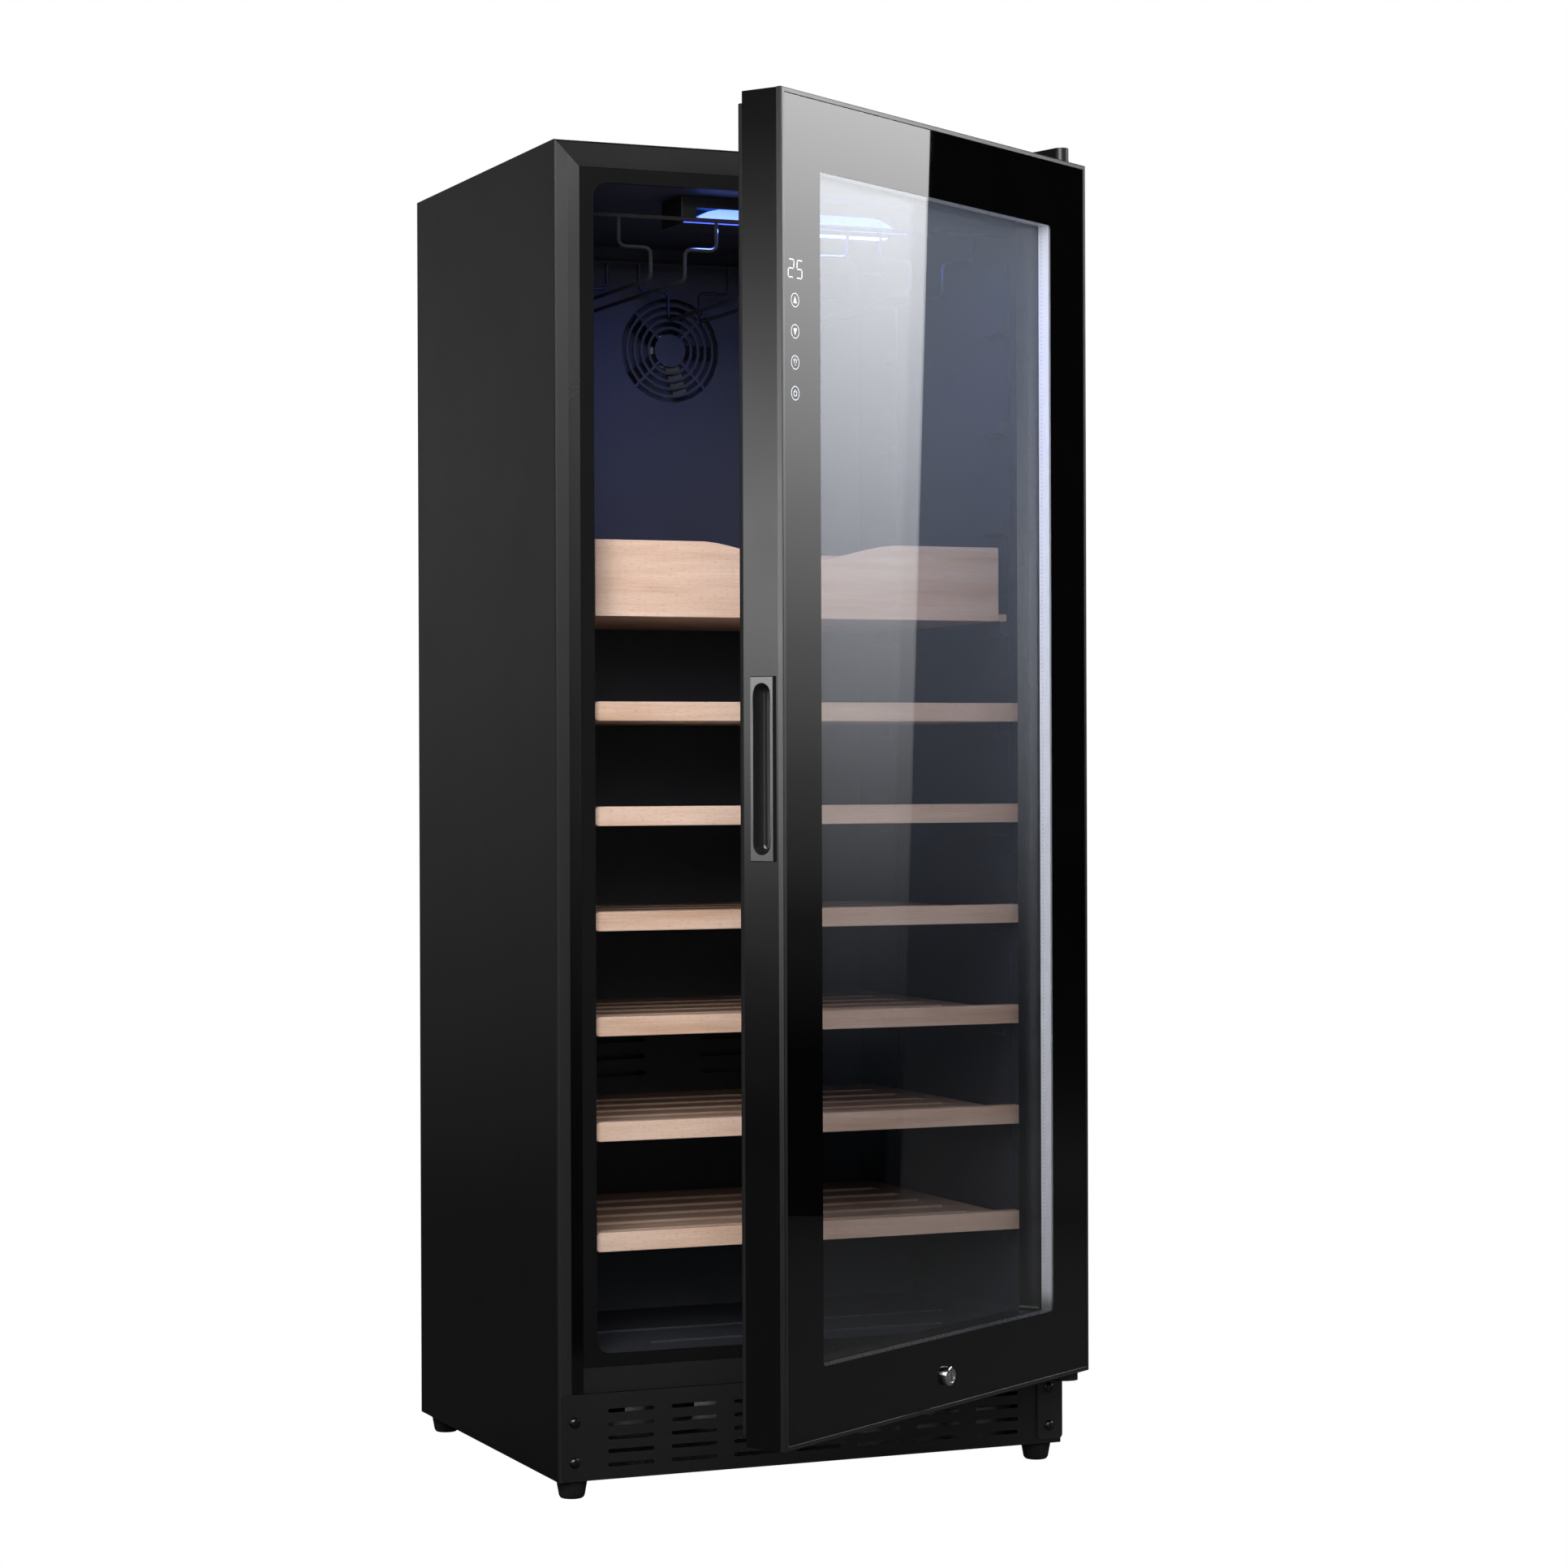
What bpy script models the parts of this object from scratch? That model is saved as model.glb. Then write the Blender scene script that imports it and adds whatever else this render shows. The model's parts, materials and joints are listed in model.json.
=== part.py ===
"""Free-standing wine cooler with a hinged glass door, beech shelves, a display drawer and a stemware rack."""

import math

import bpy
import bmesh
from mathutils import Matrix, Vector

# ---------------------------------------------------------------- sizes, metres
gap = 0.0003            # clearance left between pieces that touch

width = 0.595           # cabinet, side to side
body_height = 1.420     # cabinet without its feet
depth = 0.483           # cabinet without the door
foot_height = 0.020
sheet = 0.0015          # steel sheet of the outer shell

flange_width = 0.0275   # painted steel border round the front
breaker_width = 0.016   # black plastic border inside it
liner_wall = 0.0025
liner_corner = 0.016
liner_bottom = 0.133    # above the bottom of the body
liner_top = body_height - 0.043
liner_back = 0.452
hump_front = 0.300      # step in the liner over the machine room
hump_top = 0.232
room_front = 0.335      # machine room behind and below the foam
room_top = 0.198
underfloor = 0.098

door_height = body_height - 0.0868
door_thickness = 0.0471
gasket_thickness = 0.0095
gasket_inset = 0.0105
gasket_width = 0.013
door_open = math.radians(32.6)
hinge_inset = 0.013     # hinge axis in from the side of the cabinet
hinge_forward = 0.0336  # hinge axis in front of the cabinet
trim = 0.0047           # metal edge round the door glass
glass = 0.004
pane_gap = 0.0132       # depth of the bar between the two panes
window_left = 0.0675    # black border of the door glass, handle side
window_right = 0.0765   # and hinge side
window_end = 0.0745     # and at both ends
unit_margin = 0.019     # how far the second pane reaches past the window

handle_length = 0.1804
handle_width = 0.0265
handle_centre = 0.754   # above the bottom of the body
handle_setback = 0.0124
lock_height = 0.1208
lock_radius = 0.0102
lock_stand = 0.006

shelf_pitch = 0.112
shelf_count = 6
shelf_height = 0.0208
shelf_front_y = 0.009
shelf_back_y = 0.410
support_width = 0.044   # shelf supports on the liner walls
support_front = 0.040
support_rear = 0.340

drawer_front_y = 0.0395
drawer_clear = 0.015    # drawer side to liner wall
ledge_clear = 0.005     # and its base board to liner wall
drawer_top = liner_top - 0.3759
drawer_bottom = drawer_top - 0.0825
shelf_top_first = drawer_bottom - 0.0921
last_shelf_top = hump_top + 0.029

rail_height = liner_top - 0.027     # stemware rack
step_height = liner_top - 0.060
runner_height = liner_top - 0.094
rack_pitch = 0.153
wire = 0.0021

grille_top = 0.0924
slot_columns = 7
slot_rows = 5
slot_pitch_x = 0.0722
slot_pitch_z = 0.0143
slot_length = 0.0525
slot_height = 0.0043

half = width / 2
base = foot_height                  # bottom of the body above the floor
roof = base + body_height
door_rear = -(gap + gasket_thickness)
door_face = door_rear - door_thickness
door_foot = roof - door_height
hinge = Vector((half - hinge_inset, -hinge_forward, 0))
opening = half - flange_width - breaker_width
drawer_half = opening - drawer_clear
drawer_ledge = opening - ledge_clear
floor_z = base + liner_bottom
ceiling_z = base + liner_top
screw_x = half - 0.0169
screw_heights = (base + 0.0630, base + 0.0206)
lock_axis = Vector((0, door_face, base + lock_height))
fan_centre = Vector((0, 0.430, ceiling_z - 0.1236))

# ---------------------------------------------------------------- scene
for old in list(bpy.data.objects):
    bpy.data.objects.remove(old, do_unlink=True)

parts = bpy.data.collections.new("wine_cooler")
cutters = bpy.data.collections.new("cutters")
bpy.context.scene.collection.children.link(parts)
bpy.context.scene.collection.children.link(cutters)
cutters.hide_render = True


def material(name, colour, roughness=0.5, metallic=0.0, alpha=1.0):
    made = bpy.data.materials.new(name)
    made.use_nodes = True
    shader = made.node_tree.nodes["Principled BSDF"]
    shader.inputs["Base Color"].default_value = (*colour, 1)
    shader.inputs["Roughness"].default_value = roughness
    shader.inputs["Metallic"].default_value = metallic
    shader.inputs["Alpha"].default_value = alpha
    made.diffuse_color = (*colour, alpha)
    return made


# ---------------------------------------------------------------- shapes
def finished(bm):
    bmesh.ops.remove_doubles(bm, verts=bm.verts, dist=0.000002)
    bmesh.ops.recalc_face_normals(bm, faces=bm.faces)
    mesh = bpy.data.meshes.new("shape")
    bm.to_mesh(mesh)
    bm.free()
    return mesh


def block(x0, x1, y0, y1, z0, z1):
    bm = bmesh.new()
    middle = Vector(((x0 + x1) / 2, (y0 + y1) / 2, (z0 + z1) / 2))
    size = Matrix.Diagonal((x1 - x0, y1 - y0, z1 - z0, 1))
    bmesh.ops.create_cube(bm, size=1, matrix=Matrix.Translation(middle) @ size)
    return finished(bm)


def turn_to(axis):
    """Turns +Z to the named axis."""
    if axis == "Y":
        return Matrix.Rotation(-math.pi / 2, 4, "X")
    if axis == "X":
        return Matrix.Rotation(math.pi / 2, 4, "Y")
    return Matrix.Identity(4)


def rod(start, length, radius, axis="Z", end_radius=None, sides=24):
    """A round bar from start along the axis, or a taper when the far radius differs."""
    bm = bmesh.new()
    far = radius if end_radius is None else end_radius
    place = Matrix.Translation(Vector(start)) @ turn_to(axis) @ Matrix.Translation((0, 0, length / 2))
    bmesh.ops.create_cone(bm, cap_ends=True, segments=sides, radius1=radius, radius2=far,
                          depth=length, matrix=place)
    return finished(bm)


def evaluated_mesh(obj):
    graph = bpy.context.evaluated_depsgraph_get()
    mesh = bpy.data.meshes.new_from_object(obj.evaluated_get(graph))
    bpy.data.objects.remove(obj, do_unlink=True)
    bm = bmesh.new()
    bm.from_mesh(mesh)
    return bm


def turned(profile, start=(0, 0, 0), axis="Z", sides=32):
    """A turned piece: (radius, height) points down the outside from the top."""
    bm = bmesh.new()
    spots = [bm.verts.new((radius, 0, height)) for radius, height in profile]
    for first, second in zip(spots, spots[1:]):
        bm.edges.new((first, second))
    mesh = bpy.data.meshes.new("profile")
    bm.to_mesh(mesh)
    bm.free()
    obj = bpy.data.objects.new("profile", mesh)
    cutters.objects.link(obj)
    screw = obj.modifiers.new("turn", "SCREW")
    screw.steps = sides
    screw.render_steps = sides
    screw.use_merge_vertices = True
    screw.merge_threshold = 0.00001
    bm = evaluated_mesh(obj)
    bm.transform(Matrix.Translation(Vector(start)) @ turn_to(axis))
    return finished(bm)


def flat(loops, plane, low, high):
    """A flat solid: the first loop is its outline, the others are holes through it."""
    curve = bpy.data.curves.new("outline", "CURVE")
    curve.dimensions = "2D"
    curve.fill_mode = "BOTH"
    curve.extrude = (high - low) / 2
    for loop in loops:
        spline = curve.splines.new("POLY")
        spline.points.add(len(loop) - 1)
        for point, (across, along) in zip(spline.points, loop):
            point.co = (across, along, 0, 1)
        spline.use_cyclic_u = True
    obj = bpy.data.objects.new("outline", curve)
    cutters.objects.link(obj)
    bm = evaluated_mesh(obj)
    middle = (low + high) / 2
    for vert in bm.verts:
        across, along, level = vert.co
        level += middle
        if plane == "XZ":
            vert.co = (across, level, along)
        elif plane == "YZ":
            vert.co = (level, across, along)
        else:
            vert.co = (across, along, level)
    return finished(bm)


def wire_shape(points, radius, resolution=1):
    """A round wire along the points, with capped ends."""
    curve = bpy.data.curves.new("wire", "CURVE")
    curve.dimensions = "3D"
    curve.bevel_depth = radius
    curve.bevel_resolution = resolution
    curve.use_fill_caps = True
    spline = curve.splines.new("POLY")
    spline.points.add(len(points) - 1)
    for point, spot in zip(spline.points, points):
        point.co = (*spot, 1)
    obj = bpy.data.objects.new("wire", curve)
    cutters.objects.link(obj)
    return finished(evaluated_mesh(obj))


def rounded_path(points, radius, steps=3):
    """The same path with each inner corner replaced by a short arc."""
    path = [Vector(points[0])]
    for before, corner, after in zip(points, points[1:], points[2:]):
        corner = Vector(corner)
        start = corner + (Vector(before) - corner).normalized() * radius
        end = corner + (Vector(after) - corner).normalized() * radius
        for step in range(steps + 1):
            t = step / steps
            path.append(start * (1 - t) ** 2 + corner * 2 * t * (1 - t) + end * t ** 2)
    path.append(Vector(points[-1]))
    return path


def rectangle(a0, a1, b0, b1, radius=0.0, steps=4):
    """A rectangle, with rounded corners when a radius is given."""
    if radius == 0:
        return [(a0, b0), (a1, b0), (a1, b1), (a0, b1)]
    loop = []
    corners = ((a1 - radius, b0 + radius, -90), (a1 - radius, b1 - radius, 0),
               (a0 + radius, b1 - radius, 90), (a0 + radius, b0 + radius, 180))
    for across, along, first in corners:
        for step in range(steps + 1):
            angle = math.radians(first + 90 * step / steps)
            loop.append((across + radius * math.cos(angle), along + radius * math.sin(angle)))
    return loop


def circle(across, along, radius, sides=24):
    turn = 2 * math.pi / sides
    return [(across + radius * math.cos(turn * i), along + radius * math.sin(turn * i))
            for i in range(sides)]


def joined(meshes):
    """Several separate shapes held in one mesh."""
    bm = bmesh.new()
    for mesh in meshes:
        bm.from_mesh(mesh)
    return finished(bm)


def moved(mesh, matrix):
    mesh.transform(matrix)
    return mesh


# ---------------------------------------------------------------- placing
class Place:
    """Where pieces belong: their pivot, in cabinet coordinates, and what carries them."""

    def __init__(self, pivot=(0, 0, 0), parent=None, parent_pivot=(0, 0, 0)):
        self.pivot = Vector(pivot)
        self.parent = parent
        self.parent_pivot = Vector(parent_pivot)

    def put(self, obj):
        obj.data.transform(Matrix.Translation(-self.pivot))
        obj.location = self.pivot - self.parent_pivot
        obj.parent = self.parent


def empty(name, location, parent=None):
    obj = bpy.data.objects.new(name, None)
    obj.location = location
    obj.parent = parent
    obj.empty_display_size = 0.05
    parts.objects.link(obj)
    return obj


def part(name, mesh, look, place, smooth=False):
    obj = bpy.data.objects.new(name, mesh)
    mesh.name = name
    mesh.materials.append(look)
    if smooth:
        mesh.polygons.foreach_set("use_smooth", [True] * len(mesh.polygons))
        mesh.set_sharp_from_angle(angle=math.radians(35))
    parts.objects.link(obj)
    place.put(obj)
    return obj


def shape_with(obj, mesh, place, operation):
    helper = bpy.data.objects.new(f"{obj.name}_{operation.lower()}_{len(obj.modifiers)}", mesh)
    cutters.objects.link(helper)
    helper.hide_render = True
    helper.display_type = "WIRE"
    place.put(helper)
    boolean = obj.modifiers.new(helper.name, "BOOLEAN")
    boolean.operation = operation
    boolean.solver = "EXACT"
    boolean.object = helper
    return obj


def carve(obj, mesh, place):
    return shape_with(obj, mesh, place, "DIFFERENCE")


def unite(obj, mesh, place):
    return shape_with(obj, mesh, place, "UNION")


root = empty("wine_cooler_origin", (0, 0, 0))
cabinet = Place(parent=root)
door_axis = empty("door_axis", hinge, root)
door_axis.rotation_euler = (0, 0, door_open)
door = Place(hinge, door_axis, hinge)

black_paint = material("side_panel_paint", (0.012, 0.012, 0.012), 0.45)
front_paint = material("front_paint", (0.02, 0.02, 0.021), 0.4)
galvanised = material("galvanised_steel", (0.55, 0.56, 0.57), 0.4, 1.0)
liner_plastic = material("liner_plastic", (0.012, 0.012, 0.014), 0.35)
black_plastic = material("black_plastic", (0.01, 0.01, 0.01), 0.4)
rubber = material("rubber", (0.008, 0.008, 0.008), 0.8)
foam = material("foam", (0.75, 0.68, 0.45), 0.9)
beech = material("beech", (0.72, 0.5, 0.38), 0.5)
clear_glass = material("clear_glass", (0.25, 0.26, 0.28), 0.02, 0.0, 0.35)
inner_pane_glass = material("inner_pane_glass", (0.3, 0.32, 0.33), 0.02, 0.0, 0.3)
spacer_metal = material("spacer_aluminium", (0.7, 0.7, 0.7), 0.3, 1.0)
trim_metal = material("handle_metal", (0.45, 0.45, 0.46), 0.25, 1.0)
chrome = material("chrome", (0.75, 0.75, 0.76), 0.08, 1.0)
copper_black = material("compressor_paint", (0.015, 0.015, 0.016), 0.35)
aluminium = material("aluminium", (0.7, 0.71, 0.72), 0.35, 1.0)
lamp_white = material("lamp_lens", (0.75, 0.85, 1.0), 0.3)
screw_steel = material("screw_steel", (0.03, 0.03, 0.03), 0.35, 0.6)
wire_coat = material("rack_wire", (0.015, 0.015, 0.015), 0.35)

# ---------------------------------------------------------------- outer shell
bend = 0.0025


def side_section(side):
    """Section of a side panel seen from above: the side sheet and its front flange."""
    outer = half
    inner = half - sheet
    loop = [(outer, depth), (outer, bend)]
    for step in (1, 2):
        angle = math.radians(30 * step)
        loop.append((outer - bend + bend * math.cos(angle), bend - bend * math.sin(angle)))
    loop += [(outer - bend, 0), (half - flange_width, 0), (half - flange_width, sheet),
             (inner - 0.001, sheet), (inner, sheet + 0.001), (inner, depth)]
    return [(side * across, along) for across, along in loop]


for side, word in ((-1, "left"), (1, "right")):
    panel = part(f"side_panel_{word}", flat([side_section(side)], "XY", base, roof), black_paint, cabinet)
    reach = flange_width + 0.004
    mitre = [(side * (half + 0.003), roof + 0.003 - gap), (side * (half - reach), roof - reach - gap),
             (side * (half - reach), roof + 0.005)]
    carve(panel, flat([mitre], "XZ", -0.002, sheet + 0.0015), cabinet)
    holes = [rod((side * screw_x, -0.01, height), 0.02, 0.0024, "Y", sides=12) for height in screw_heights]
    carve(panel, joined(holes), cabinet)

inside = half - sheet - gap
top_section = [(depth - sheet - gap, roof), (bend, roof), (bend * 0.3, roof - bend * 0.3), (0, roof - bend),
               (0, roof - flange_width), (sheet, roof - flange_width), (sheet, roof - sheet - 0.001),
               (sheet + 0.001, roof - sheet), (depth - sheet - gap, roof - sheet)]
top_panel = part("top_panel", flat([top_section], "YZ", -inside, inside), black_paint, cabinet)
for side in (-1, 1):
    under = [(side * (half + 0.003), roof + 0.003), (side * (half - reach), roof - reach),
             (side * (half + 0.003), roof - reach)]
    carve(top_panel, flat([under], "XZ", -0.002, sheet + 0.0005), cabinet)

part("rear_panel", block(-inside, inside, depth - sheet, depth, base + room_top + 0.004, roof),
     galvanised, cabinet)

rail_top = floor_z - breaker_width + 0.0025
rail_section = [(0, base + grille_top + gap), (0.018, base + grille_top + gap),
                (0.018, base + grille_top + gap + sheet), (sheet, base + grille_top + gap + sheet),
                (sheet, rail_top), (0, rail_top)]
rail_half = half - flange_width - gap
lower_rail = part("lower_rail", flat([rail_section], "YZ", -rail_half, rail_half), front_paint, cabinet)
strike_low = lock_axis.z - 0.0065
strike_high = lock_axis.z + 0.0065
carve(lower_rail, block(-0.008, 0.021, -0.002, 0.004, strike_low, strike_high), cabinet)

# ---------------------------------------------------------------- base pan and feet
foot_x = half - 0.0215
foot_spots = (("front_left", -foot_x, 0.021), ("front_right", foot_x, 0.021),
              ("rear_left", -foot_x, depth - 0.028), ("rear_right", foot_x, depth - 0.028))
pan_front = sheet + 0.0015
base_pan = part("base_pan", block(-inside, inside, pan_front, depth - sheet - gap, base, base + 0.010),
                galvanised, cabinet)
carve(base_pan, block(-inside + sheet, inside - sheet, pan_front + sheet, depth - 2 * sheet - gap,
                      base + sheet, base + 0.02), cabinet)
carve(base_pan, joined([rod((x, y, base - 0.01), 0.03, 0.0050, sides=16) for _, x, y in foot_spots]), cabinet)

foot_profile = ((0, 0.036), (0.0035, 0.036), (0.0040, 0.0355), (0.0040, 0.0197), (0.0165, 0.0197),
                (0.0165, 0.0175), (0.0145, 0.003), (0.0132, 0.0006), (0.0118, 0), (0, 0))
for word, x, y in foot_spots:
    part(f"foot_{word}", turned(foot_profile, (x, y, 0), sides=20), rubber, Place((x, y, 0), root), True)

# ---------------------------------------------------------------- kick grille and its screws
grille_y = -(gap + 0.0013)
grille_half = half - 0.0022
grille_low = base + 0.0005
slot_middle = base + 0.0445
slots = []
for column in range(slot_columns):
    across = (column - (slot_columns - 1) / 2) * slot_pitch_x
    for row in range(slot_rows):
        along = slot_middle + (row - (slot_rows - 1) / 2) * slot_pitch_z
        slots.append(rectangle(across - slot_length / 2, across + slot_length / 2, along - slot_height / 2,
                               along + slot_height / 2, slot_height * 0.499, 2))
grille_outline = rectangle(-grille_half, grille_half, grille_low, base + grille_top, 0.008, 3)
screw_holes = [circle(side * screw_x, height, 0.0024, 12) for side in (-1, 1) for height in screw_heights]
part("kick_grille", flat([grille_outline] + slots + screw_holes, "XZ", grille_y, -gap), front_paint, cabinet)

plate_low = base + 0.005
plate_y = grille_y - gap - 0.002
screw_profile = ((0, 0.0), (0.0058, 0.0), (0.0058, -0.0008), (0.0046, -0.0024), (0.0026, -0.0030), (0, -0.0030))


def screw(name, across, along, seat):
    """A pan-head screw whose head stands in front of the seat."""
    obj = part(name, turned(screw_profile, (across, seat - gap, along), "Y", 16), screw_steel, cabinet, True)
    unite(obj, rod((across, seat - 0.002, along), 0.0105, 0.0020, "Y", sides=10), cabinet)
    for wide, tall in ((0.0028, 0.0006), (0.0006, 0.0028)):
        carve(obj, block(across - wide, across + wide, seat - 0.006, seat - 0.0022, along - tall, along + tall),
              cabinet)


for number, height in enumerate(screw_heights, 1):
    screw(f"grille_screw_{number}", -screw_x, height, grille_y)
    screw(f"hinge_screw_{number}", screw_x, height, plate_y)

# ---------------------------------------------------------------- liner, breaker and foam
breaker_back = 0.006
breaker_outer = half - flange_width - gap
breaker = flat([rectangle(-breaker_outer, breaker_outer, rail_top + gap, roof - flange_width - gap),
                rectangle(-opening, opening, floor_z, ceiling_z, liner_corner, 5)],
               "XZ", 0.0004, breaker_back)
breaker_frame = part("breaker_frame", breaker, black_plastic, cabinet)
carve(breaker_frame, block(-0.008, 0.021, -0.002, 0.02, strike_low, strike_high), cabinet)

liner_front = breaker_back + gap
outer_x = opening + liner_wall
skin = rectangle(-outer_x, outer_x, floor_z - liner_wall, ceiling_z + liner_wall, liner_corner + liner_wall, 5)
liner = part("inner_liner", flat([skin], "XZ", liner_front, liner_back + liner_wall), liner_plastic, cabinet)
hump_z = base + hump_top
carve(liner, block(-half, half, hump_front + liner_wall, 0.6, floor_z - 0.05, hump_z - liner_wall), cabinet)
hollow = rectangle(-opening, opening, floor_z, ceiling_z, liner_corner, 5)
carve(liner, flat([hollow], "XZ", -0.01, hump_front), cabinet)
upper = [spot for spot in hollow if spot[1] > (floor_z + ceiling_z) / 2]
upper = [(opening, hump_z)] + upper + [(-opening, hump_z)]
carve(liner, flat([upper], "XZ", hump_front - 0.01, liner_back), cabinet)

shelf_tops = [base + shelf_top_first - shelf_pitch * i for i in range(shelf_count - 1)]
shelf_tops.append(base + last_shelf_top)
support_tops = [base + drawer_bottom - gap + shelf_pitch * i for i in range(1, 4)]
support_tops += [base + drawer_bottom - gap]
support_tops += [top - shelf_height - gap for top in shelf_tops]
support_height = 0.0165


def support_section(side, start):
    """A shallow post on the liner wall with a short ledge under each shelf place."""
    wall, post, ledge = opening + 0.001, opening - 0.003, opening - 0.013
    loop = [(wall, start)]
    for top in sorted(support_tops):
        under = top - support_height
        if under < start:
            loop += [(ledge, start), (ledge, top), (post, top)]
        else:
            loop += [(post, under), (ledge, under + support_height * 0.25), (ledge, top), (post, top)]
    loop += [(post, ceiling_z - 0.060), (wall, ceiling_z - 0.055)]
    return [(side * across, along) for across, along in loop]


for side in (-1, 1):
    for forward, start in ((support_front, floor_z + 0.040), (support_rear, hump_z - 0.001)):
        unite(liner, flat([support_section(side, start)], "XZ", forward, forward + support_width), cabinet)
bead = [block(-0.173, 0.173, 0.055, 0.059, floor_z - 0.001, floor_z + 0.002),
        block(-0.215, 0.215, 0.142, 0.146, floor_z - 0.001, floor_z + 0.002)]
unite(liner, joined(bead), cabinet)

foam_low = base + underfloor
foam_back = depth - sheet - gap
foam_block = part("insulation_foam", block(-inside, inside, liner_front, foam_back, foam_low,
                                           roof - sheet - gap), foam, cabinet)
carve(foam_block, block(-half, half, room_front, 0.6, 0, base + room_top), cabinet)
pocket = rectangle(-outer_x - gap, outer_x + gap, floor_z - liner_wall - gap, ceiling_z + liner_wall + gap,
                   liner_corner + liner_wall, 5)
carve(foam_block, flat([pocket], "XZ", -0.01, hump_front + liner_wall + gap), cabinet)
lifted = hump_z - liner_wall - gap
upper = [spot for spot in pocket if spot[1] > (floor_z + ceiling_z) / 2]
upper = [(outer_x + gap, lifted)] + upper + [(-outer_x - gap, lifted)]
carve(foam_block, flat([upper], "XZ", hump_front - 0.01, liner_back + liner_wall + gap), cabinet)
carve(foam_block, block(-0.021, 0.021, -0.01, 0.012, lock_axis.z - 0.021, lock_axis.z + 0.0125), cabinet)

# ---------------------------------------------------------------- air duct cover, fan and evaporator
def ring_slots(centre, inner, outer, count, bridge, steps=5):
    """Arc-shaped openings between the rings of a round fan grille, with four spokes left at the diagonals."""
    loops = []
    spacing = (outer - inner) / count
    for ring in range(count):
        near = inner + spacing * ring + spacing * 0.18
        far = inner + spacing * (ring + 1) - spacing * 0.18
        for quarter in range(4):
            first = math.radians(45 + 90 * quarter)
            last = first + math.pi / 2
            loop = []
            for radius, a, b in ((near, first, last), (far, last, first)):
                trimmed = bridge / radius * (1 if b > a else -1)
                for step in range(steps + 1):
                    angle = a + trimmed + (b - a - 2 * trimmed) * step / steps
                    loop.append((centre[0] + radius * math.cos(angle), centre[1] + radius * math.sin(angle)))
            loops.append(loop)
    return loops


cover_half = opening - 0.019
cover_low = base + 0.330
cover_high = ceiling_z - 0.020
cover_y = fan_centre.y
cover_wall = 0.002
duct_slots = ring_slots((fan_centre.x, fan_centre.z), 0.018, 0.064, 5, 0.0016)
for row in range(5):
    height = cover_low + 0.060 + 0.020 * row
    for across in (-0.115, 0.115):
        duct_slots.append(rectangle(across - 0.08, across + 0.08, height, height + 0.006, 0.0029, 2))
cover_edge = rectangle(-cover_half, cover_half, cover_low, cover_high, 0.012, 3)
duct_cover = part("duct_cover", flat([cover_edge] + duct_slots, "XZ", cover_y, cover_y + cover_wall),
                  liner_plastic, cabinet)
rim_inner = rectangle(-cover_half + cover_wall, cover_half - cover_wall, cover_low + cover_wall,
                      cover_high - cover_wall, 0.010, 3)
unite(duct_cover, flat([cover_edge, rim_inner], "XZ", cover_y + 0.001, liner_back - gap), cabinet)

evaporator = part("evaporator", block(-0.205, 0.205, liner_back - 0.0050, liner_back - 0.0030,
                                      cover_low + 0.19, fan_centre.z - 0.075), aluminium, cabinet)
channels = []
evaporator_low = cover_low + 0.21
evaporator_high = fan_centre.z - 0.095
channel_count = 9
channel_step = (evaporator_high - evaporator_low) / (channel_count - 1)
snake = []
for row in range(channel_count):
    height = evaporator_low + channel_step * row
    ends = (-0.185, 0.185) if row % 2 == 0 else (0.185, -0.185)
    snake += [(ends[0], liner_back - 0.0052, height), (ends[1], liner_back - 0.0052, height)]
unite(evaporator, wire_shape(snake, 0.0034, 1), cabinet)
studs = [rod((x, liner_back - 0.004, z), 0.004 - gap, 0.004, "Y", sides=8)
         for x in (-0.195, 0.195) for z in (cover_low + 0.2, fan_centre.z - 0.085)]
unite(evaporator, joined(studs), cabinet)


def rotor(hub, blade_reach, thickness, count, pitch, lean):
    """Fan rotor round +Z at the origin: a hub and its tilted blades."""
    blades = []
    for number in range(count):
        bm = bmesh.new()
        middle = Vector(((hub * 0.8 + blade_reach) / 2, 0, 0))
        size = Matrix.Diagonal((blade_reach - hub * 0.8, pitch, 0.0014, 1))
        tilt = Matrix.Rotation(lean, 4, "X")
        spin = Matrix.Rotation(2 * math.pi * number / count, 4, "Z")
        bmesh.ops.create_cube(bm, size=1, matrix=spin @ Matrix.Translation(middle) @ tilt @ size)
        blades.append(finished(bm))
    return rod((0, 0, -thickness / 2), thickness, hub, sides=20), joined(blades)


fan_axis = Place((fan_centre.x, cover_y + 0.0095, fan_centre.z), root)
to_fan = Matrix.Translation(fan_axis.pivot) @ turn_to("Y")
hub_shape, blade_shape = rotor(0.018, 0.056, 0.0090, 5, 0.016, math.radians(24))
evaporator_fan = part("evaporator_fan", moved(hub_shape, to_fan), black_plastic, fan_axis)
unite(evaporator_fan, moved(blade_shape, to_fan), fan_axis)
motor_y = cover_y + 0.0095 + 0.0045 + gap
part("evaporator_fan_motor", rod((fan_centre.x, motor_y, fan_centre.z), liner_back - gap - motor_y,
                                 0.020, "Y", sides=20), galvanised, cabinet)

# ---------------------------------------------------------------- lamp
lamp_half = 0.134
lamp_low = ceiling_z - 0.0305
lamp_y = 0.050
lamp_housing = part("lamp_housing", block(-lamp_half, lamp_half, lamp_y, lamp_y + 0.060, lamp_low,
                                          ceiling_z - gap), black_plastic, cabinet)
lens_low = ceiling_z - 0.025
lens_high = ceiling_z - 0.013
carve(lamp_housing, block(-0.1165, 0.1165, lamp_y - 0.01, lamp_y + 0.022, lens_low, lens_high), cabinet)
lens_loop = [(-0.1160, lens_low + gap), (0.1160, lens_low + gap), (0.112, lens_low + 0.004),
             (0.103, lens_low + 0.0085), (0.090, lens_high - gap), (-0.090, lens_high - gap),
             (-0.103, lens_low + 0.0085), (-0.112, lens_low + 0.004)]
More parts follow.
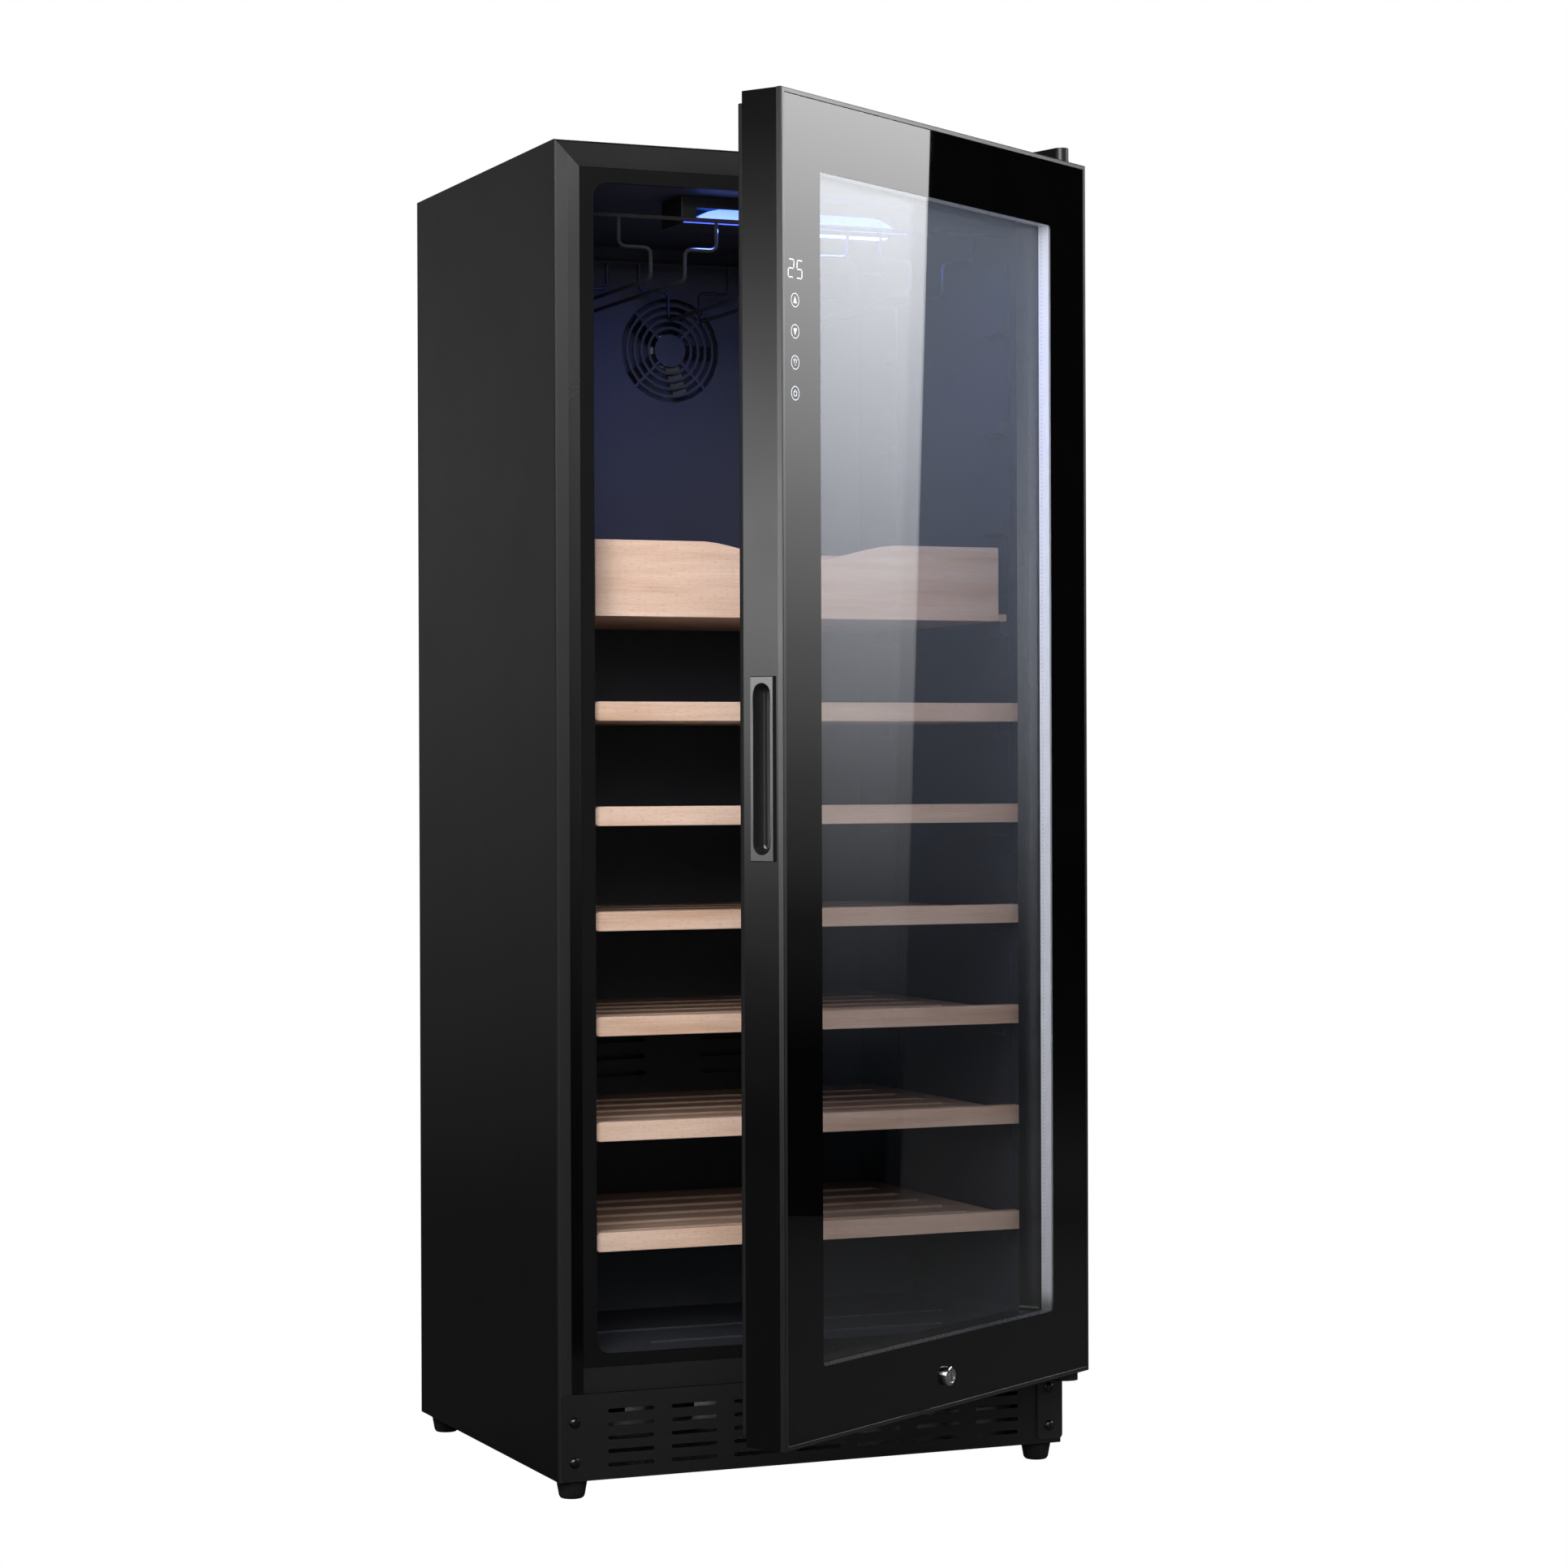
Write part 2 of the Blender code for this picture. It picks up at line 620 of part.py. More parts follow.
part("lamp_lens", flat([lens_loop], "XZ", lamp_y + 0.001, lamp_y + 0.022 - gap), lamp_white, cabinet)

# ---------------------------------------------------------------- stemware rack
rack_y = 0.043
rack_back = 0.385
hook_z = base + rail_height
runner_z = base + runner_height
step_z = base + step_height
cross_reach = opening - 0.0012
glass_rack = part("glass_rack", wire_shape([(-cross_reach, rack_y, hook_z), (cross_reach, rack_y, hook_z)],
                                           wire, 2), wire_coat, cabinet, True)
unite(glass_rack, wire_shape([(-cross_reach, rack_back, hook_z), (cross_reach, rack_back, hook_z)], wire, 2),
      cabinet)
for channel in (-1, 0, 1):
    for side in (-1, 1):
        middle = channel * rack_pitch
        outer = middle + side * 0.0565
        inner = middle + side * 0.0198
        points = [(outer, rack_y, hook_z), (outer, rack_y, step_z), (inner, rack_y, step_z),
                  (inner, rack_y, runner_z), (inner, rack_back, runner_z), (inner, rack_back, step_z),
                  (outer, rack_back, step_z), (outer, rack_back, hook_z)]
        unite(glass_rack, wire_shape(rounded_path(points, 0.008), wire, 1), cabinet)

# ---------------------------------------------------------------- shelves
shelf_half = opening - 0.0025
rack_half = opening - 0.0055
front_thick = 0.015
slat_count = 6
for number, top in enumerate(shelf_tops, 1):
    low = top - shelf_height
    slide = Place((0, shelf_front_y, low), root)
    face = rectangle(-shelf_half, shelf_half, low, top, 0.0045, 2)
    front = flat([face], "XZ", shelf_front_y, shelf_front_y + front_thick)
    part(f"shelf_{number}_front", front, beech, slide)
    y0 = shelf_front_y + front_thick + gap
    frame = rectangle(-rack_half, rack_half, y0, shelf_back_y)
    pitch = (shelf_back_y - y0) / slat_count
    openings = [rectangle(-rack_half + 0.030, rack_half - 0.030, y0 + pitch * i + pitch * 0.62,
                          y0 + pitch * i + pitch * 0.96) for i in range(slat_count - 1)]
    rack = part(f"shelf_{number}_rack", flat([frame] + openings, "XY", low, low + 0.0135), beech, slide)

# ---------------------------------------------------------------- display drawer
drawer_low = base + drawer_bottom
drawer_high = base + drawer_top
drawer_slide = Place((0, drawer_front_y, drawer_low), root)
dip = 0.0190
board = [(-drawer_half, drawer_low), (drawer_half, drawer_low), (drawer_half, drawer_high)]
wave_half = 0.112
wave_steps = 16
for step in range(wave_steps + 1):
    along = 1 - 2 * step / wave_steps
    fall = (1 + math.cos(math.pi * along)) / 2
    board.append((along * wave_half, drawer_high - dip * fall ** 0.8))
board.append((-drawer_half, drawer_high))
board_thick = 0.012
part("drawer_front", flat([board], "XZ", drawer_front_y, drawer_front_y + board_thick), beech, drawer_slide)
box_y = drawer_front_y + board_thick + gap
box_back = 0.400
drawer_box = part("drawer_box", block(-drawer_ledge, drawer_ledge, box_y, box_back, drawer_low,
                                      drawer_low + 0.008), beech, drawer_slide)
box_top = drawer_high - 0.012
side_wall = 0.010
unite(drawer_box, flat([rectangle(-drawer_half, drawer_half, box_y, box_back),
                        rectangle(-drawer_half + side_wall, drawer_half - side_wall, box_y + side_wall,
                                  box_back - side_wall)], "XY", drawer_low + 0.004, box_top), drawer_slide)
ledges = [block(min(a, b), max(a, b), drawer_front_y + 0.001, box_y + 0.004, drawer_low, drawer_low + 0.008)
          for a, b in ((drawer_half + gap, drawer_ledge), (-drawer_half - gap, -drawer_ledge))]
unite(drawer_box, joined(ledges), drawer_slide)

# ---------------------------------------------------------------- door
window = (-half + window_left, half - window_right, door_foot + window_end, roof - window_end)
seat = (window[0] - unit_margin - gap, window[1] + unit_margin + gap,
        window[2] - unit_margin - gap, window[3] + unit_margin + gap)
outer_glass_front = door_face + 0.0004
outer_glass_back = outer_glass_front + glass
inner_pane_front = outer_glass_back + pane_gap
inner_pane_back = inner_pane_front + glass
door_frame = part("door_frame", flat([rectangle(-half, half, door_foot, roof, 0.0008, 1)], "XZ", door_face,
                                     door_rear), front_paint, door)
carve(door_frame, block(-half + trim, half - trim, door_face - 0.01, outer_glass_back + gap,
                        door_foot + trim, roof - trim), door)
carve(door_frame, block(seat[0], seat[1], outer_glass_back - 0.002, inner_pane_back + gap,
                        seat[2], seat[3]), door)
carve(door_frame, flat([rectangle(*window, 0.004, 2)], "XZ", door_face - 0.01, 0.02), door)

outer_glass = part("outer_glass", block(-half + trim + gap, half - trim - gap, outer_glass_front,
                                        outer_glass_back, door_foot + trim + gap, roof - trim - gap),
                   clear_glass, door)
part("inner_glass", block(seat[0] + gap, seat[1] - gap, inner_pane_front, inner_pane_back,
                          seat[2] + gap, seat[3] - gap), inner_pane_glass, door)
bar = 0.0065
part("spacer_bar", flat([rectangle(window[0] - bar, window[1] + bar, window[2] - bar, window[3] + bar),
                         rectangle(*window)], "XZ", outer_glass_back + gap, inner_pane_front - gap),
     spacer_metal, door)

seal = (half - gasket_inset, door_foot + gasket_inset, roof - gasket_inset)
part("door_gasket", flat([rectangle(-seal[0], seal[0], seal[1], seal[2], 0.004, 2),
                          rectangle(-seal[0] + gasket_width, seal[0] - gasket_width, seal[1] + gasket_width,
                                    seal[2] - gasket_width, 0.003, 2)], "XZ", door_rear + gap, -gap),
     rubber, door)

# handle cup let into the free edge of the door
cup_low = base + handle_centre - handle_length / 2
cup_high = base + handle_centre + handle_length / 2
cup_y0 = door_face + handle_setback
cup_y1 = cup_y0 + handle_width
cup_depth = 0.0185
carve(door_frame, flat([rectangle(cup_y0 - gap, cup_y1 + gap, cup_low - gap, cup_high + gap, 0.003, 2)],
                       "YZ", -half - 0.01, -half + cup_depth + gap), door)
cup_proud = 0.0006
handle_cup = part("handle_cup", flat([rectangle(cup_y0, cup_y1, cup_low, cup_high, 0.003, 2)], "YZ",
                                     -half - cup_proud, -half + cup_depth), trim_metal, door, True)
lip = 0.0030
hollow_loop = rectangle(cup_y0 + lip, cup_y1 - lip, cup_low + 0.006, cup_high - 0.006,
                        (handle_width - 2 * lip) * 0.499, 4)
carve(handle_cup, flat([hollow_loop], "YZ", -half - 0.01, -half + cup_depth - 0.0025), door)

# touch display behind the black border of the glass
display_y = outer_glass_back + gap
display_x = (-half + 0.0085, -half + 0.0385)
display_z = (roof - 0.314, roof - 0.152)
carve(door_frame, block(display_x[0] - gap, display_x[1] + gap, outer_glass_back - 0.002, display_y + 0.008 + gap,
                        display_z[0] - gap, display_z[1] + gap), door)
part("display_module", block(display_x[0], display_x[1], display_y, display_y + 0.008, *display_z),
     black_plastic, door)

# lock in the lower border: body, plug and cam
stem_end = 0.0065
barrel = 0.0088
carve(door_frame, rod((0, door_face - 0.01, lock_axis.z), 0.08, barrel + gap, "Y", sides=24), door)
carve(outer_glass, rod((0, door_face - 0.01, lock_axis.z), 0.03, barrel + gap, "Y", sides=24), door)
head_start = door_face - lock_stand
barrel_end = door_rear - 0.0002 - head_start
lock_profile = ((0.0060, barrel_end), (barrel, barrel_end), (barrel, lock_stand - 0.0001),
                (lock_radius, lock_stand - 0.0001), (lock_radius, 0.0008), (lock_radius - 0.0008, 0),
                (0.0066, 0), (0.0060, 0.0006), (0.0060, barrel_end))
part("lock_body", turned(lock_profile, (0, head_start, lock_axis.z), "Y", 28), chrome, door, True)
plug_place = Place(lock_axis, door_axis, hinge)
lock_plug = part("lock_plug", rod((0, head_start + 0.0004, lock_axis.z), 0.050, 0.0057, "Y", sides=20),
                 chrome, plug_place, True)
unite(lock_plug, rod((0, head_start + 0.045, lock_axis.z), stem_end - head_start - 0.045, 0.0034, "Y", sides=14),
      plug_place)
carve(lock_plug, block(-0.0007, 0.0007, head_start - 0.01, head_start + 0.005, lock_axis.z - 0.0042,
                       lock_axis.z + 0.0042), plug_place)
cam_loop = [(0.0055 * math.cos(math.radians(90 + 30 * step)),
             lock_axis.z + 0.0055 * math.sin(math.radians(90 + 30 * step))) for step in range(7)]
cam_loop += [(0.0170, lock_axis.z - 0.0045), (0.0180, lock_axis.z), (0.0170, lock_axis.z + 0.0045)]
part("lock_cam", flat([cam_loop, circle(0, lock_axis.z, 0.0037, 14)], "XZ", 0.0030, 0.0052), galvanised,
     plug_place)

# ---------------------------------------------------------------- hinges
pin_radius = 0.0035
arm_end = 0.0088
top_pin_low = roof - 0.012


def hinge_outline(grow, back, spread):
    """Arm from above: a round end on the hinge axis, widening back over the cabinet."""
    radius = arm_end + grow
    loop = []
    for step in range(9):
        angle = math.radians(180 + 180 * step / 8)
        loop.append((hinge.x + radius * math.cos(angle), hinge.y + radius * math.sin(angle)))
    loop += [(hinge.x + radius, back + grow), (hinge.x - spread - grow, back + grow),
             (hinge.x - spread - grow, -0.0005)]
    return loop


top_bracket = part("hinge_bracket_top", flat([hinge_outline(-0.0026, 0.056, 0.018)], "XY", roof + gap,
                                             roof + gap + 0.0025), galvanised, cabinet)
unite(top_bracket, rod((hinge.x, hinge.y, top_pin_low), roof + 0.002 - top_pin_low, pin_radius, sides=16), cabinet)
cover = part("hinge_cover_top", flat([hinge_outline(0, 0.060, 0.018)], "XY", roof + gap, roof + 0.020),
             black_plastic, cabinet, True)
carve(cover, flat([hinge_outline(-0.0020, 0.060, 0.018)], "XY", roof - 0.01, roof + 0.0175), cabinet)
carve(door_frame, rod((hinge.x, hinge.y, top_pin_low - gap), 0.03, pin_radius + gap, sides=16), door)

arm_top = door_foot - gap
arm_low = door_foot - 0.0105
bottom_bracket = part("hinge_bracket_bottom",
                      flat([rectangle(half - 0.0315, half - 0.0006, plate_low, arm_top, 0.005, 3)]
                           + [circle(screw_x, height, 0.0024, 12) for height in screw_heights],
                           "XZ", plate_y, grille_y - gap), front_paint, cabinet)
arm = [(half - 0.0290, plate_y + 0.001), (half - 0.0290, hinge.y - 0.004), (half - 0.0250, hinge.y - 0.0115),
       (half - 0.0170, hinge.y - 0.0145), (half - 0.0080, hinge.y - 0.0145), (half - 0.0020, hinge.y - 0.0105),
       (half - 0.0006, hinge.y - 0.004), (half - 0.0006, plate_y + 0.001)]
unite(bottom_bracket, flat([arm], "XY", arm_low, arm_top), cabinet)
unite(bottom_bracket, rod((hinge.x, hinge.y, arm_low + 0.002), 0.020, pin_radius, sides=16), cabinet)
carve(door_frame, rod((hinge.x, hinge.y, door_foot - 0.01), 0.0225, pin_radius + gap, sides=16), door)

# ---------------------------------------------------------------- machine room
room_z = base + sheet + gap
compressor_x = -0.165
room_y = 0.408
can = ((0, 0.158), (0.022, 0.157), (0.044, 0.148), (0.056, 0.130), (0.060, 0.100), (0.0635, 0.098),
       (0.0635, 0.092), (0.060, 0.090), (0.060, 0.040), (0.053, 0.022), (0.040, 0.014), (0, 0.014))
compressor = part("compressor", turned(can, (compressor_x, room_y, room_z), sides=24), copper_black, cabinet, True)
plate_shape = block(compressor_x - 0.085, compressor_x + 0.085, room_y - 0.050, room_y + 0.050,
                    room_z + 0.012, room_z + 0.015)
unite(compressor, plate_shape, cabinet)
feet_shapes = [rod((compressor_x + sx * 0.070, room_y + sy * 0.038, room_z), 0.014, 0.010, sides=12)
               for sx in (-1, 1) for sy in (-1, 1)]
unite(compressor, joined(feet_shapes), cabinet)
unite(compressor, block(compressor_x + 0.050, compressor_x + 0.078, room_y - 0.022, room_y + 0.022,
                        room_z + 0.050, room_z + 0.090), cabinet)

tray_z = room_z + 0.158 + 0.003
drip_tray = part("drip_tray", block(compressor_x - 0.060, compressor_x + 0.060, room_y - 0.050, room_y + 0.050,
                                    tray_z, tray_z + 0.013), black_plastic, cabinet)
carve(drip_tray, block(compressor_x - 0.058, compressor_x + 0.058, room_y - 0.048, room_y + 0.048,
                       tray_z + 0.002, tray_z + 0.03), cabinet)

shroud_x = -0.020
fan_z = room_z + 0.086
shroud = part("condenser_fan_shroud", flat([rectangle(room_front + 0.008, room_front + 0.138, room_z,
                                                      room_z + 0.172, 0.004, 1),
                                            circle(room_y - 0.0005, fan_z, 0.060, 28)],
                                           "YZ", shroud_x, shroud_x + 0.012), black_plastic, cabinet)
motor_bars = [block(shroud_x - 0.004, shroud_x + 0.002, room_y - 0.063, room_y + 0.062, fan_z - 0.004,
                    fan_z + 0.004),
              rod((shroud_x - 0.026, room_y - 0.0005, fan_z), 0.028, 0.020, "X", sides=20)]
for bar_shape in motor_bars:
    unite(shroud, bar_shape, cabinet)
blower = Place((shroud_x + 0.0085, room_y - 0.0005, fan_z), root)
to_blower = Matrix.Translation(blower.pivot) @ turn_to("X")
hub_shape, blade_shape = rotor(0.016, 0.055, 0.0100, 5, 0.015, math.radians(28))
condenser_fan = part("condenser_fan", moved(hub_shape, to_blower), black_plastic, blower)
unite(condenser_fan, moved(blade_shape, to_blower), blower)

coil = []
coil_rows = 6
coil_low = room_z + 0.018
coil_pitch = 0.028
for layer, along in enumerate((room_front + 0.045, room_front + 0.095)):
    rows = range(coil_rows) if layer % 2 == 0 else reversed(range(coil_rows))
    for row in rows:
        ends = (0.045, 0.225) if (row + layer) % 2 == 0 else (0.225, 0.045)
        coil += [(ends[0], along, coil_low + coil_pitch * row), (ends[1], along, coil_low + coil_pitch * row)]
condenser = part("condenser", wire_shape(coil, 0.0032, 1), galvanised, cabinet, True)
for across in (0.060, 0.210):
    unite(condenser, block(across - 0.0006, across + 0.0006, room_front + 0.022, room_front + 0.118,
                           room_z, room_z + 0.172), cabinet)

power_box = part("power_box", block(0.060, 0.250, 0.030, 0.130, room_z, room_z + 0.038), galvanised, cabinet)
carve(power_box, joined([block(0.08 + 0.03 * i, 0.095 + 0.03 * i, 0.02, 0.034, room_z + 0.014, room_z + 0.019)
                         for i in range(5)]), cabinet)

cover_slots = []
for column in (-0.19, -0.07, 0.07):
    for row in range(7):
        height = base + 0.040 + 0.018 * row
        cover_slots.append(rectangle(column - 0.045, column + 0.045, height, height + 0.006, 0.0029, 2))
gland_spot = (0.235, base + 0.060)
cover_slots.append(circle(*gland_spot, 0.0085, 16))
part("machine_cover", flat([rectangle(-inside, inside, base + 0.0115, base + room_top + 0.0035)]
                           + cover_slots, "XZ", depth - sheet, depth), galvanised, cabinet)
gland_profile = ((0.0045, 0.0045), (0.0090, 0.0045), (0.0110, 0.0035), (0.0120, 0.0025), (0.0120, gap),
                 (0.0082, gap), (0.0082, -0.0020), (0.0100, -0.0022), (0.0100, -0.0045), (0.0045, -0.0045),
                 (0.0045, 0.0045))
part("cord_gland", turned(gland_profile, (gland_spot[0], depth, gland_spot[1]), "Y", 20), rubber, cabinet, True)

# ---------------------------------------------------------------- origin under the middle of the whole object
bpy.context.view_layer.update()
graph = bpy.context.evaluated_depsgraph_get()
low = Vector((1e9, 1e9, 1e9))
high = -low
for obj in parts.objects:
    if obj.type != "MESH":
        continue
    solid = obj.evaluated_get(graph)
    for vert in solid.data.vertices:
        spot = solid.matrix_world @ vert.co
        low = Vector(map(min, low, spot))
        high = Vector(map(max, high, spot))
root.location = (-(low.x + high.x) / 2, -(low.y + high.y) / 2, -low.z)
bpy.context.view_layer.update()
for name, spot in (("hinge", hinge), ("lock", lock_axis)):
    print(name, [round(value, 6) for value in (spot + root.location)])
print("shift", [round(value, 6) for value in root.location])
print("size", [round(value, 6) for value in (high - low)])
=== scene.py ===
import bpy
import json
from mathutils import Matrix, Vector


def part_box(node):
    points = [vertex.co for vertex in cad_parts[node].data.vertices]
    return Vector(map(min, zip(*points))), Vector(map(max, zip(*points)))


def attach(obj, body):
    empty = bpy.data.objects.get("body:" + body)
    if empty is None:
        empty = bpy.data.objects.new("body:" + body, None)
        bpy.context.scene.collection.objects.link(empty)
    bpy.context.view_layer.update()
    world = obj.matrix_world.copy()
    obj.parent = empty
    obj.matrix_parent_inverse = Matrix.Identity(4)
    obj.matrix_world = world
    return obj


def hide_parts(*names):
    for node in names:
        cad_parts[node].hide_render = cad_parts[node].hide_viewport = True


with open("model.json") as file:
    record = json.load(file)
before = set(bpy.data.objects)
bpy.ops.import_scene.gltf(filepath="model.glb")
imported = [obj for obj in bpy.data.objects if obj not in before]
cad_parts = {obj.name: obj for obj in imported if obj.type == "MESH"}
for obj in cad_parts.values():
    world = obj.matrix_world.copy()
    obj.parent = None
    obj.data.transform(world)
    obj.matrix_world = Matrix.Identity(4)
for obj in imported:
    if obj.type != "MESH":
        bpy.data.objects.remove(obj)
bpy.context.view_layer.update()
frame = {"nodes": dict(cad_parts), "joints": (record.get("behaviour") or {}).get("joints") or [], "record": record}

import json
import math

import bmesh
import bpy
from mathutils import Matrix, Vector

nodes = frame["nodes"]
record = frame["record"]
bodyOf = {node: body for body, members in record["behaviour"]["bodies"].items() for node in members}
print("frame loaded with", len(nodes), "nodes")


# shader maths
class Signal:
    # wraps one socket, so that arithmetic on it adds Math nodes
    def __init__(self, tree, socket):
        self.tree = tree
        self.socket = socket

    def sum(self, operation, *values):
        node = self.tree.nodes.new("ShaderNodeMath")
        node.operation = operation
        for slot, value in zip(node.inputs, values):
            feed(self.tree, slot, value)
        return Signal(self.tree, node.outputs[0])

    def __add__(self, other):
        return self.sum("ADD", self, other)

    def __radd__(self, other):
        return self.sum("ADD", other, self)

    def __sub__(self, other):
        return self.sum("SUBTRACT", self, other)

    def __rsub__(self, other):
        return self.sum("SUBTRACT", other, self)

    def __mul__(self, other):
        return self.sum("MULTIPLY", self, other)

    def __rmul__(self, other):
        return self.sum("MULTIPLY", other, self)

    def __truediv__(self, other):
        return self.sum("DIVIDE", self, other)

    def __pow__(self, other):
        return self.sum("POWER", self, other)

    def below(self, level):
        return self.sum("LESS_THAN", self, level)

    def absolute(self):
        return self.sum("ABSOLUTE", self)

    def fraction(self):
        return self.sum("FRACT", self)

    def clamped(self):
        return self.sum("MINIMUM", self.sum("MAXIMUM", self, 0.0), 1.0)

    def between(self, low, high):
        # zero at low, one at high, straight between them
        return ((self - low) / (high - low)).clamped()


def feed(tree, slot, value):
    if isinstance(value, Signal):
        tree.links.new(value.socket, slot)
    elif slot.type == "RGBA" and len(value) == 3:
        slot.default_value = (*value, 1)
    else:
        slot.default_value = value


class Finish:
    # a material, its Principled shader and short ways to add nodes
    def __init__(self, name, values):
        self.material = bpy.data.materials.new(name)
        self.material.use_nodes = True
        self.tree = self.material.node_tree
        self.shader = self.tree.nodes["Principled BSDF"]
        self.set(values)

    def set(self, values):
        for socket, value in values.items():
            feed(self.tree, self.shader.inputs[socket], value)

    def node(self, kind, settings=None, sockets=None, output=0):
        made = self.tree.nodes.new("ShaderNode" + kind)
        for key, value in (settings or {}).items():
            if key == "stops":
                fillRamp(made.color_ramp, value)
            else:
                setattr(made, key, value)
        for key, value in (sockets or {}).items():
            feed(self.tree, made.inputs[key], value)
        return Signal(self.tree, made.outputs[output])

    def spot(self, scale=(1, 1, 1), turn=0.0, shift=(0, 0, 0)):
        place = self.node("TexCoord", output="Object")
        sockets = {"Vector": place, "Scale": scale, "Rotation": (0, 0, turn), "Location": shift}
        return self.node("Mapping", None, sockets)

    def noise(self, scale, detail=3.0, stretch=(1, 1, 1), rough=0.5, turn=0.0):
        sockets = {"Vector": self.spot(stretch, turn), "Scale": scale, "Detail": detail, "Roughness": rough}
        return self.node("TexNoise", None, sockets)

    def ramp(self, factor, stops):
        return self.node("ValToRGB", {"stops": stops}, {"Fac": factor})

    def mixed(self, factor, first, second, mode="MIX"):
        settings = {"data_type": "RGBA", "blend_type": mode}
        return self.node("Mix", settings, {0: factor, 6: first, 7: second}, output=2)

    def bump(self, height, strength, distance):
        sockets = {"Strength": strength, "Distance": distance, "Height": height}
        self.set({"Normal": self.node("Bump", None, sockets)})

    def plain(self):
        # the Principled shader, to blend with another
        return Signal(self.tree, self.shader.outputs[0])

    def blended(self, factor, first, second):
        return self.node("MixShader", None, {0: factor, 1: first, 2: second})

    def surface(self, shader):
        self.tree.links.new(shader.socket, self.tree.nodes["Material Output"].inputs["Surface"])

    def axes(self, turn=0.0, shift=(0, 0, 0)):
        split = self.node("SeparateXYZ", None, {"Vector": self.spot((1, 1, 1), turn, shift)})
        outputs = split.socket.node.outputs
        return [Signal(self.tree, outputs[i]) for i in range(3)]


def fillRamp(ramp, stops):
    while len(ramp.elements) < len(stops):
        ramp.elements.new(0.5)
    for element, (place, colour) in zip(ramp.elements, stops):
        element.position = place
        element.color = (*colour, 1)


# where the door is
doorJoint = next(joint for joint in frame["joints"] if joint["name"] == "door_hinge")
doorTurn = math.radians(-doorJoint["range_deg"][0])
doorPivot = Vector(doorJoint["pos_m"])
swing = Matrix.Translation(doorPivot) @ Matrix.Rotation(doorTurn, 4, "Z") @ Matrix.Translation(-doorPivot)
shutting = swing.inverted()


def shutBox(node):
    # corners of a door piece, as they are with the door shut
    spots = [shutting @ vert.co for vert in nodes[node].data.vertices]
    low = Vector([min(spot[i] for spot in spots) for i in range(3)])
    high = Vector([max(spot[i] for spot in spots) for i in range(3)])
    return low, high


# finishes: grain counts dimples per metre, and depth is how deep they look, in metres
paintLook = {"cloud": 9, "dark": 0.7, "light": 1.35, "bump": 0.35}


def paintFinish(name, colour, roughness, grain, depth):
    # powder paint: fine dimples and a slightly cloudy gloss
    look = paintLook
    coat = Finish(name, {"Specular IOR Level": 0.5})
    cloud = coat.noise(look["cloud"], 3)
    grit = coat.noise(grain, 2)
    dark, light = [[c * look[key] for c in colour] for key in ("dark", "light")]
    coat.set({"Base Color": coat.mixed(grit * 0.7 + cloud * 0.3, dark, light)})
    coat.set({"Roughness": cloud * 0.10 + grit * 0.08 + (roughness - 0.09)})
    coat.bump(grit, look["bump"], depth)
    return coat.material


panelLook = {
    "colour": (0.0018, 0.0018, 0.0018), "roughness": 0.30, "grain": 1500, "depth": 0.00004,
    "foldBack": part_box("side_panel_left")[0].y + 0.0012, "foldSoft": 0.0004,  # the folded front ends here
    # the folded front's colour runs from the low to the high colour between the fade heights: painted shade below,
    # painted light above
    "foldShadeLow": (0.0012, 0.0012, 0.0012), "foldLightHigh": (0.052, 0.052, 0.052),
    "fadeLow": 0.35, "fadeHigh": 1.40, "fadePower": 1.8,
    "glossLow": -0.18, "glossHigh": 0.04,  # added to the roughness of the fold, low down and high up
    "half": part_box("side_panel_right")[1].x, "crease": 0.004, "creaseBack": 0.003,
    "creaseSoft": 1 / 1500, "creaseDull": 0.6,
}


def panelFinish(name):
    # the same paint, satin towards the top of a panel's folded front and dull on its outer crease; the fold's
    # colour is painted light, near black low down and lighter towards the top
    look = panelLook
    coat = Finish(name, {"Specular IOR Level": 0.5})
    cloud = coat.noise(paintLook["cloud"], 3)
    grit = coat.noise(look["grain"], 2)
    across, deep, tall = coat.axes()
    back = look["foldBack"]
    fold = 1.0 - deep.between(back, back + look["foldSoft"])
    rise = tall.between(look["fadeLow"], look["fadeHigh"]) ** look["fadePower"]
    # the folded front is painted lighter towards the top: painted light
    base = coat.mixed(fold, look["colour"], coat.mixed(rise, look["foldShadeLow"], look["foldLightHigh"]))
    dark, light = [(paintLook[key],) * 3 for key in ("dark", "light")]
    tone = coat.mixed(grit * 0.7 + cloud * 0.3, dark, light)
    edge = look["half"] - look["crease"]
    reach = back + look["creaseBack"]
    soft = look["creaseSoft"]
    crease = across.absolute().between(edge, edge + soft) * (1.0 - deep.between(reach, reach + soft))
    sheen = rise * (look["glossHigh"] - look["glossLow"]) + look["glossLow"]
    dull = fold * sheen + crease * look["creaseDull"]
    coat.set({"Base Color": coat.mixed(1.0, base, tone, "MULTIPLY")})
    coat.set({"Roughness": cloud * 0.10 + grit * 0.08 + dull + (look["roughness"] - 0.09)})
    coat.bump(grit, paintLook["bump"], look["depth"])
    return coat.material


def metalFinish(name, colour, roughness, stretch=(1, 1, 1), depth=0.00002):
    # rolled or brushed metal: streaks in the gloss along one way
    coat = Finish(name, {"Metallic": 1.0})
    streak = coat.noise(700, 3, stretch)
    cloud = coat.noise(14, 2)
    coat.set({"Base Color": coat.mixed(streak, [c * 0.86 for c in colour], colour)})
    coat.set({"Roughness": streak * 0.12 + cloud * 0.06 + (roughness - 0.09)})
    coat.bump(streak, 0.2, depth)
    return coat.material


